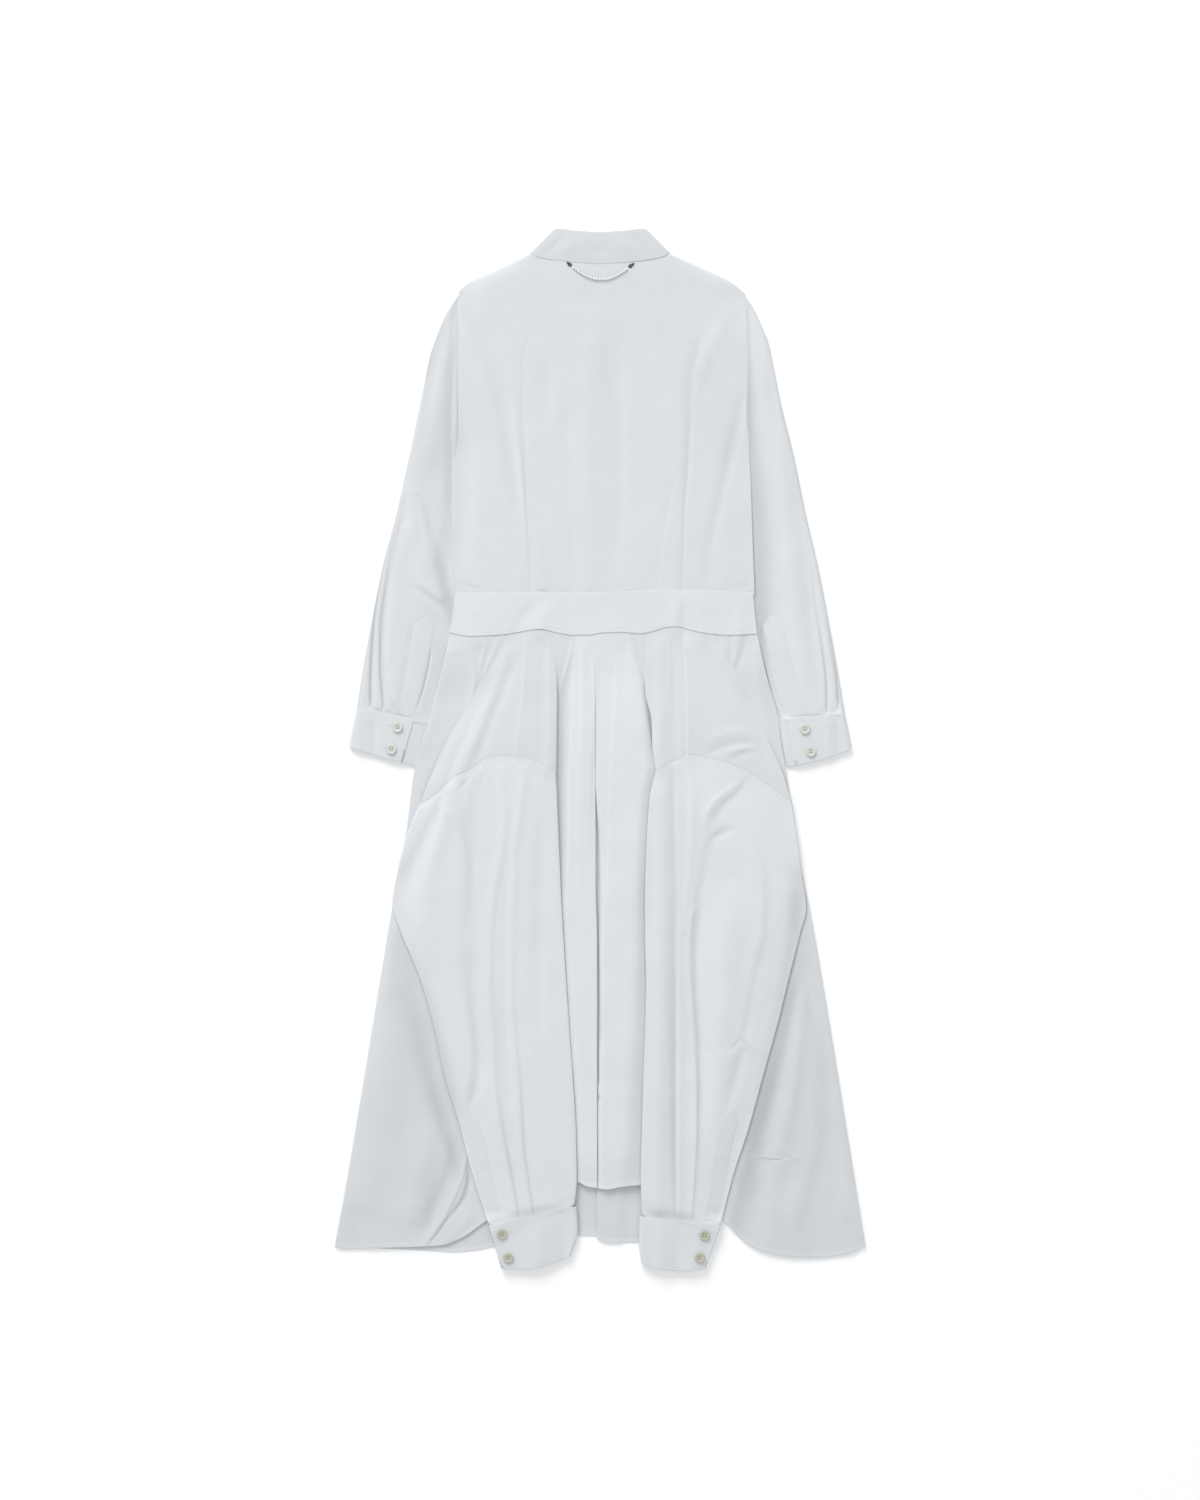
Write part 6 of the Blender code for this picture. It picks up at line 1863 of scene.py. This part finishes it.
def placket_line(edges):
    """A path down the middle of a placket."""
    rows = np.array(edges, float)
    return (rows[:, 0:2] + rows[:, 2:4]) / 2


def sewn(node, piece, look):
    """The rows of stitches of a piece, others along paths on it, and its buttonholes."""
    spots = []
    for line in STITCH_LINES.get(node, ()):
        spots += row_spots(line)
    tree = surface(piece) if node in EXTRA_ROWS or node in BUTTONHOLES else None
    for path in EXTRA_ROWS.get(node, ()):
        spots += stitch_spots(tree, np.array(path, float))
    for hole in BUTTONHOLES.get(node, ()):
        spots += buttonhole_spots(tree, *hole)
    return [place_piece(capsules(node + "_stitches", spots, look))] if spots else []


# Middle x, y and turn of each buttonhole.
BUTTONHOLES = {
    "cuff_left": ((-260.5, 31, -0.22), (-268, 3.5, -0.22)),
    "cuff_right": ((263.5, 29, 0.2), (270.5, 1, 0.2)),
    "hung_cuff_left": ((-115, -602.4, 0.3), (-107, -632.2, 0.3)),
    "hung_cuff_right": ((123, -604, -0.2), (117, -632, -0.2)),
}
# The pleat is stitched down along its edge, and in a small box below the band.
EXTRA_ROWS = {
    "skirt_back_right": (
        edge_line(PLEAT_EDGE, 140, -520, 2.2),
        ((1.5, 137), (1.5, 118.5)), ((1.5, 118.5), (17, 118.5)), ((17, 118.5), (17, 137)),
    ),
}
# Each cloth's node, flat cut's width, length and area in metres, how it is held, and what it lies on.
SHEETS = (
    ("front_left", 0.205, 0.452, 0.082, "laid", ("floor",)),
    ("front_right", 0.208, 0.452, 0.084, "laid", ("floor", "front_left")),
    ("shirt_back", 0.386, 0.452, 0.160, "laid", ("front_left", "front_right")),
    ("skirt_front_left", 0.36, 0.81, 0.240, "laid", ("floor",)),
    ("skirt_front_right", 0.34, 0.81, 0.225, "laid", ("floor", "skirt_front_left")),
    ("skirt_back_right", 0.35, 0.81, 0.231, "folded", ("skirt_front_right", "skirt_front_left")),
    ("skirt_back_left", 0.33, 0.81, 0.212, "folded", ("skirt_front_left", "skirt_back_right")),
    ("waistband", 0.388, 0.068, 0.0258, "laid", ("shirt_back", "skirt_back_left", "skirt_back_right")),
    ("hung_shoulder_left", 0.19, 0.29, 0.0235, "hung", ("waistband", "skirt_back_left")),
    ("hung_shoulder_right", 0.19, 0.29, 0.028, "hung", ("waistband", "skirt_back_right")),
    ("hung_sleeve_left", 0.42, 0.49, 0.190, "laid", ("hung_shoulder_left", "skirt_back_left")),
    ("hung_sleeve_right", 0.42, 0.49, 0.184, "laid", ("hung_shoulder_right", "skirt_back_right")),
    ("sleeve_left", 0.30, 0.54, 0.074, "laid", ("shirt_back", "floor")),
    ("sleeve_right", 0.28, 0.54, 0.068, "laid", ("shirt_back", "floor")),
    ("cuff_left", 0.225, 0.068, 0.0153, "folded", ("sleeve_left", "floor")),
    ("cuff_right", 0.22, 0.068, 0.0149, "folded", ("sleeve_right", "floor")),
    ("hung_cuff_left", 0.245, 0.075, 0.0183, "folded", ("hung_sleeve_left",)),
    ("hung_cuff_right", 0.23, 0.074, 0.0170, "folded", ("hung_sleeve_right",)),
    ("placket_left", 0.026, 0.11, 0.0028, "laid", ("sleeve_left",)),
    ("placket_right", 0.027, 0.11, 0.0029, "laid", ("sleeve_right",)),
    ("hung_placket_left", 0.024, 0.11, 0.0026, "laid", ("hung_sleeve_left",)),
    ("hung_placket_right", 0.024, 0.11, 0.0026, "laid", ("hung_sleeve_right",)),
    ("collar_fall", 0.41, 0.046, 0.0185, "folded", ("collar_stand", "shirt_back")),
    ("collar_stand", 0.38, 0.024, 0.0088, "folded", ("shirt_back",)),
)


def add_chain(shirt_back, thread, pearl, steel):
    """The pearl chain at the nape, with its rings and catches."""
    tree = surface(shirt_back)
    path = chain_path(tree)
    string = place_piece(add_thread(path, thread), ("pearl_chain",))
    others = [place_piece(add_pearls(path, pearl), ())]
    for node in RINGS:
        others.append(place_piece(add_ring(node, steel), (node,)))
    for name, ends in CLASPS.items():
        others.append(place_piece(add_clasp(name, *ends, tree, steel), ()))
    round(float(lengths(path)[-1]) * MM, 4)


# Upper edges that lie under another cloth, and the parts of the neck on each side.
SKIRT_WAIST = ((-400, SKIRT_TOP), (400, SKIRT_TOP))
HUNG_TOP = ((-400, 196.2), (400, 196.2))
UNDER_WAIST = tuple((x, y - 3) for x, y in BODICE_WAIST)
BAND_WAIST = tuple((x, y - 0.5) for x, y in BODICE_WAIST)
NECK_LEFT = [p for p in SHOULDER_AND_NECK if p[0] < -60] + [p for p in FRONT_NECK if p[0] < 20]
NECK_RIGHT = [p for p in FRONT_NECK if p[0] > -20] + [p for p in SHOULDER_AND_NECK if p[0] > 60]
# The front lies a little inside the back.
INNER_NECK_LEFT = [(x, y - 2.5 * smooth((-x - 55) / 8)) for x, y in NECK_LEFT]
INNER_NECK_RIGHT = [(x, y - 2.5 * smooth((x - 55) / 8)) for x, y in NECK_RIGHT]
INNER_LEFT = tuple((y, x + 4) for y, x in BODICE_LEFT)
INNER_RIGHT = tuple((y, x - 4) for y, x in BODICE_RIGHT)
LEFT_SHOULDER = shoulder_height(SHOULDER_LEFT_FOLDS, HUNG_LEFT_OUTER, HUNG_LEFT_INNER, CAP_LEFT, 61)
RIGHT_SHOULDER = shoulder_height(SHOULDER_RIGHT_FOLDS, HUNG_RIGHT_INNER, HUNG_RIGHT_OUTER, CAP_RIGHT, 67)


def edges(**rows):
    """Turned edges, (side, thickness, hem)."""
    return [(side, *row) for side, row in rows.items()]


ARMHOLE = (back_edge_thickness, 5)
THIN = [(side, 0.45, 5) for side in SIDES]
HEM_ROW = (("low", 6.2),)
CAP_ROW = (("low", 1.6),)
# Panels: node; left, right, upper and lower edge; folds, height, turned edges, rows of stitches and
# tone; and the space between its points across and down, where it isn't the usual one.
PANELS = (
    ("shirt_back", BODICE_LEFT, BODICE_RIGHT, SHOULDER_AND_NECK, UNDER_WAIST, BACK_FOLDS, back_height,
     edges(left=ARMHOLE, right=ARMHOLE, top=(1.2, 5), low=(0.9, 5)), (), back_painted_light_and_shade),
    ("front_left", INNER_LEFT, ((580, 14), (WAIST_Y, 14)), INNER_NECK_LEFT, UNDER_WAIST, (),
     front_height(41, 1), THIN, (), flat_tone(0), 4, 5),
    ("front_right", ((580, -14), (WAIST_Y, -14)), INNER_RIGHT, INNER_NECK_RIGHT, UNDER_WAIST, (),
     front_height(43, 1, 22), THIN, (), flat_tone(0), 4, 5),
    ("waistband", BAND_LEFT, BAND_RIGHT, BAND_WAIST, BAND_LOW, BAND_FOLDS, band_height,
     edges(left=(0.8, 6), right=(0.9, 6), top=(0.35, 4), low=(0.6, 10)), (("low", 3.8),), flat_tone(0.9),
     2.7, 2.4),
    ("skirt_front_left", SKIRT_LEFT, ((SKIRT_TOP, 24), (-608.5, 24)), SKIRT_WAIST, FRONT_HEM_LEFT, (),
     front_height(47, 0.6), THIN, HEM_ROW, hem_tone(FRONT_HEM_LEFT), 5, 6),
    ("skirt_front_right", ((SKIRT_TOP, -4), (-611.5, -4)), SKIRT_RIGHT, SKIRT_WAIST, FRONT_HEM_RIGHT, (),
     front_height(53, 0.6, 31), THIN, HEM_ROW, hem_tone(FRONT_HEM_RIGHT), 5, 6),
    ("skirt_back_left", SKIRT_LEFT, MIDDLE_EDGE, SKIRT_WAIST, BACK_HEM, SKIRT_LEFT_FOLDS, skirt_left_height,
     edges(left=(0.9, 5), right=(pleat_edge_thickness, 7), low=(0.9, 6)), HEM_ROW, skirt_hem_and_painted_light_and_shade),
    ("skirt_back_right", ((SKIRT_TOP, -18), (-600, -18)), SKIRT_RIGHT, SKIRT_WAIST, BACK_HEM,
     SKIRT_RIGHT_FOLDS, skirt_right_height, edges(left=(0.6, 5), right=(0.9, 5), low=(0.9, 6)), HEM_ROW,
     skirt_hem_and_painted_light_and_shade),
    ("hung_shoulder_left", HUNG_LEFT_OUTER, HUNG_LEFT_INNER, HUNG_TOP, CAP_LEFT, SHOULDER_LEFT_FOLDS,
     LEFT_SHOULDER, edges(left=(0.5, 4), right=(1.4, 5), low=(0.12, 5)), CAP_ROW, flat_tone(0), 2.4),
    ("hung_shoulder_right", HUNG_RIGHT_INNER, HUNG_RIGHT_OUTER, HUNG_TOP, CAP_RIGHT, SHOULDER_RIGHT_FOLDS,
     RIGHT_SHOULDER, edges(left=(1.4, 5), right=(0.5, 4), low=(0.12, 5)), CAP_ROW, flat_tone(0), 2.4),
)


def armhole_ripples(edge, offset):
    """Ripples beside an armhole."""
    return ((edge_line(edge, 560, 402, offset), 7, 0.1),)


def cap_ripples(cap, slit):
    """Ripples below the gathered cap and beside the placket."""
    return ((np.array(cap, float) - (0, 7), 9, 0.4), (placket_line(slit), 9, 0.35))


# Sleeves: node, sections, line of the seam above, height of that seam, how far it takes to swell from
# there, folds, ripples, what it lies on, what presses it flat, tone and seed.
TUBES = (
    ("sleeve_left", SLEEVE_LEFT, side_mouth(BODICE_LEFT, 572.4, 400, 2.5), body_seat(BODICE_LEFT), 26,
     SLEEVE_LEFT_FOLDS, armhole_ripples(BODICE_LEFT, -5), on_floor,
     body_dip(BODICE_LEFT, SKIRT_LEFT, 14, 0.12), left_sleeve_painted_shade, 71),
    ("sleeve_right", SLEEVE_RIGHT, side_mouth(BODICE_RIGHT, 570, 400, 2.5), body_seat(BODICE_RIGHT), 26,
     SLEEVE_RIGHT_FOLDS, armhole_ripples(BODICE_RIGHT, 5), on_floor,
     body_dip(BODICE_RIGHT, SKIRT_RIGHT, 24, 0.1), right_sleeve_painted_light_and_shade, 73),
    ("hung_sleeve_left", HUNG_SLEEVE_LEFT, cap_mouth(CAP_LEFT, -225.2, -54.8, 2), under(LEFT_SHOULDER), 55,
     HUNG_LEFT_FOLDS, cap_ripples(CAP_LEFT, HUNG_PLACKET_LEFT), hung_rest,
     pressed_edge(COVER_LEFT_OUTER), hung_left_painted_light_and_shade, 79),
    ("hung_sleeve_right", HUNG_SLEEVE_RIGHT, cap_mouth(CAP_RIGHT, 239.2, 69.6, 2), under(RIGHT_SHOULDER), 55,
     HUNG_RIGHT_FOLDS, cap_ripples(CAP_RIGHT, HUNG_PLACKET_RIGHT), hung_rest,
     pressed_edge(COVER_RIGHT_OUTER), hung_right_painted_light_and_shade, 83),
)
# Cuffs: node, sections, where its slit starts and how far its end is tucked in, both as shares of its
# width, whether it starts from the outer edge, what it lies on, what presses it flat, folds, distance
# of the row of stitches along its seam, and seed.
CUFFS = (
    ("cuff_left", CUFF_LEFT, 0.22, 0.5, False, on_floor, skirt_dip(SKIRT_LEFT),
     CUFF_LEFT_FOLDS, 6.5, 89),
    ("cuff_right", CUFF_RIGHT, 0.14, 0.45, False, on_floor, skirt_dip(SKIRT_RIGHT),
     CUFF_RIGHT_FOLDS, 6.5, 97),
    ("hung_cuff_left", HUNG_CUFF_LEFT, 0.012, 0.3, True, hung_rest, no_dip,
     HUNG_CUFF_LEFT_FOLDS, 7, 101),
    ("hung_cuff_right", HUNG_CUFF_RIGHT, 0.012, 0.3, True, hung_rest, no_dip,
     HUNG_CUFF_RIGHT_FOLDS, 10, 103),
)
# Plackets: node, edges, point x, y, and the sleeve under it.
PLACKETS = (
    ("placket_left", PLACKET_LEFT, (-215, 165.6), "sleeve_left"),
    ("placket_right", PLACKET_RIGHT, (213.2, 168.6), "sleeve_right"),
    ("hung_placket_left", HUNG_PLACKET_LEFT, (-163.6, -452.6), "hung_sleeve_left"),
    ("hung_placket_right", HUNG_PLACKET_RIGHT, (167.2, -448), "hung_sleeve_right"),
)
# Collar parts: node, sections, thickness and seed.
COLLARS = (("collar_fall", COLLAR_FALL, 0.5, 107), ("collar_stand", COLLAR_STAND, 0.8, 109))


def main():
    add_camera()
    poplin, thread, shell = poplin_look(), thread_look(), shell_look()
    back, *panels = PANELS
    made = {"shirt_back": panel(poplin, *back)}
    add_chain(made["shirt_back"], thread, pearl_look(), steel_look())
    for make, rows in ((panel, panels), (tube, TUBES), (cuff, CUFFS)):
        for row in rows:
            made[row[0]] = make(poplin, *row)
    for node, sides, point, host in PLACKETS:
        made[node] = placket(poplin, node, sides, point, made[host])
    for node, sections, thick, seed in COLLARS:
        made[node] = collar_part(poplin, node, sections, thick, seed)

    for node, width, length, area, held, below in SHEETS:
        piece = place_piece(made[node], (node,))
        stitches = sewn(node, piece, thread)
        rests_on = [made.get(name, name) for name in below]

    mesh = button_mesh(shell)
    for prefix in ("", "hung_"):
        for side in ("left", "right"):
            tree = surface(made[f"{prefix}cuff_{side}"])
            for row in ("upper", "lower"):
                add_button(f"{prefix}button_{side}_{row}", tree, mesh, thread)

    add_studio()


main()
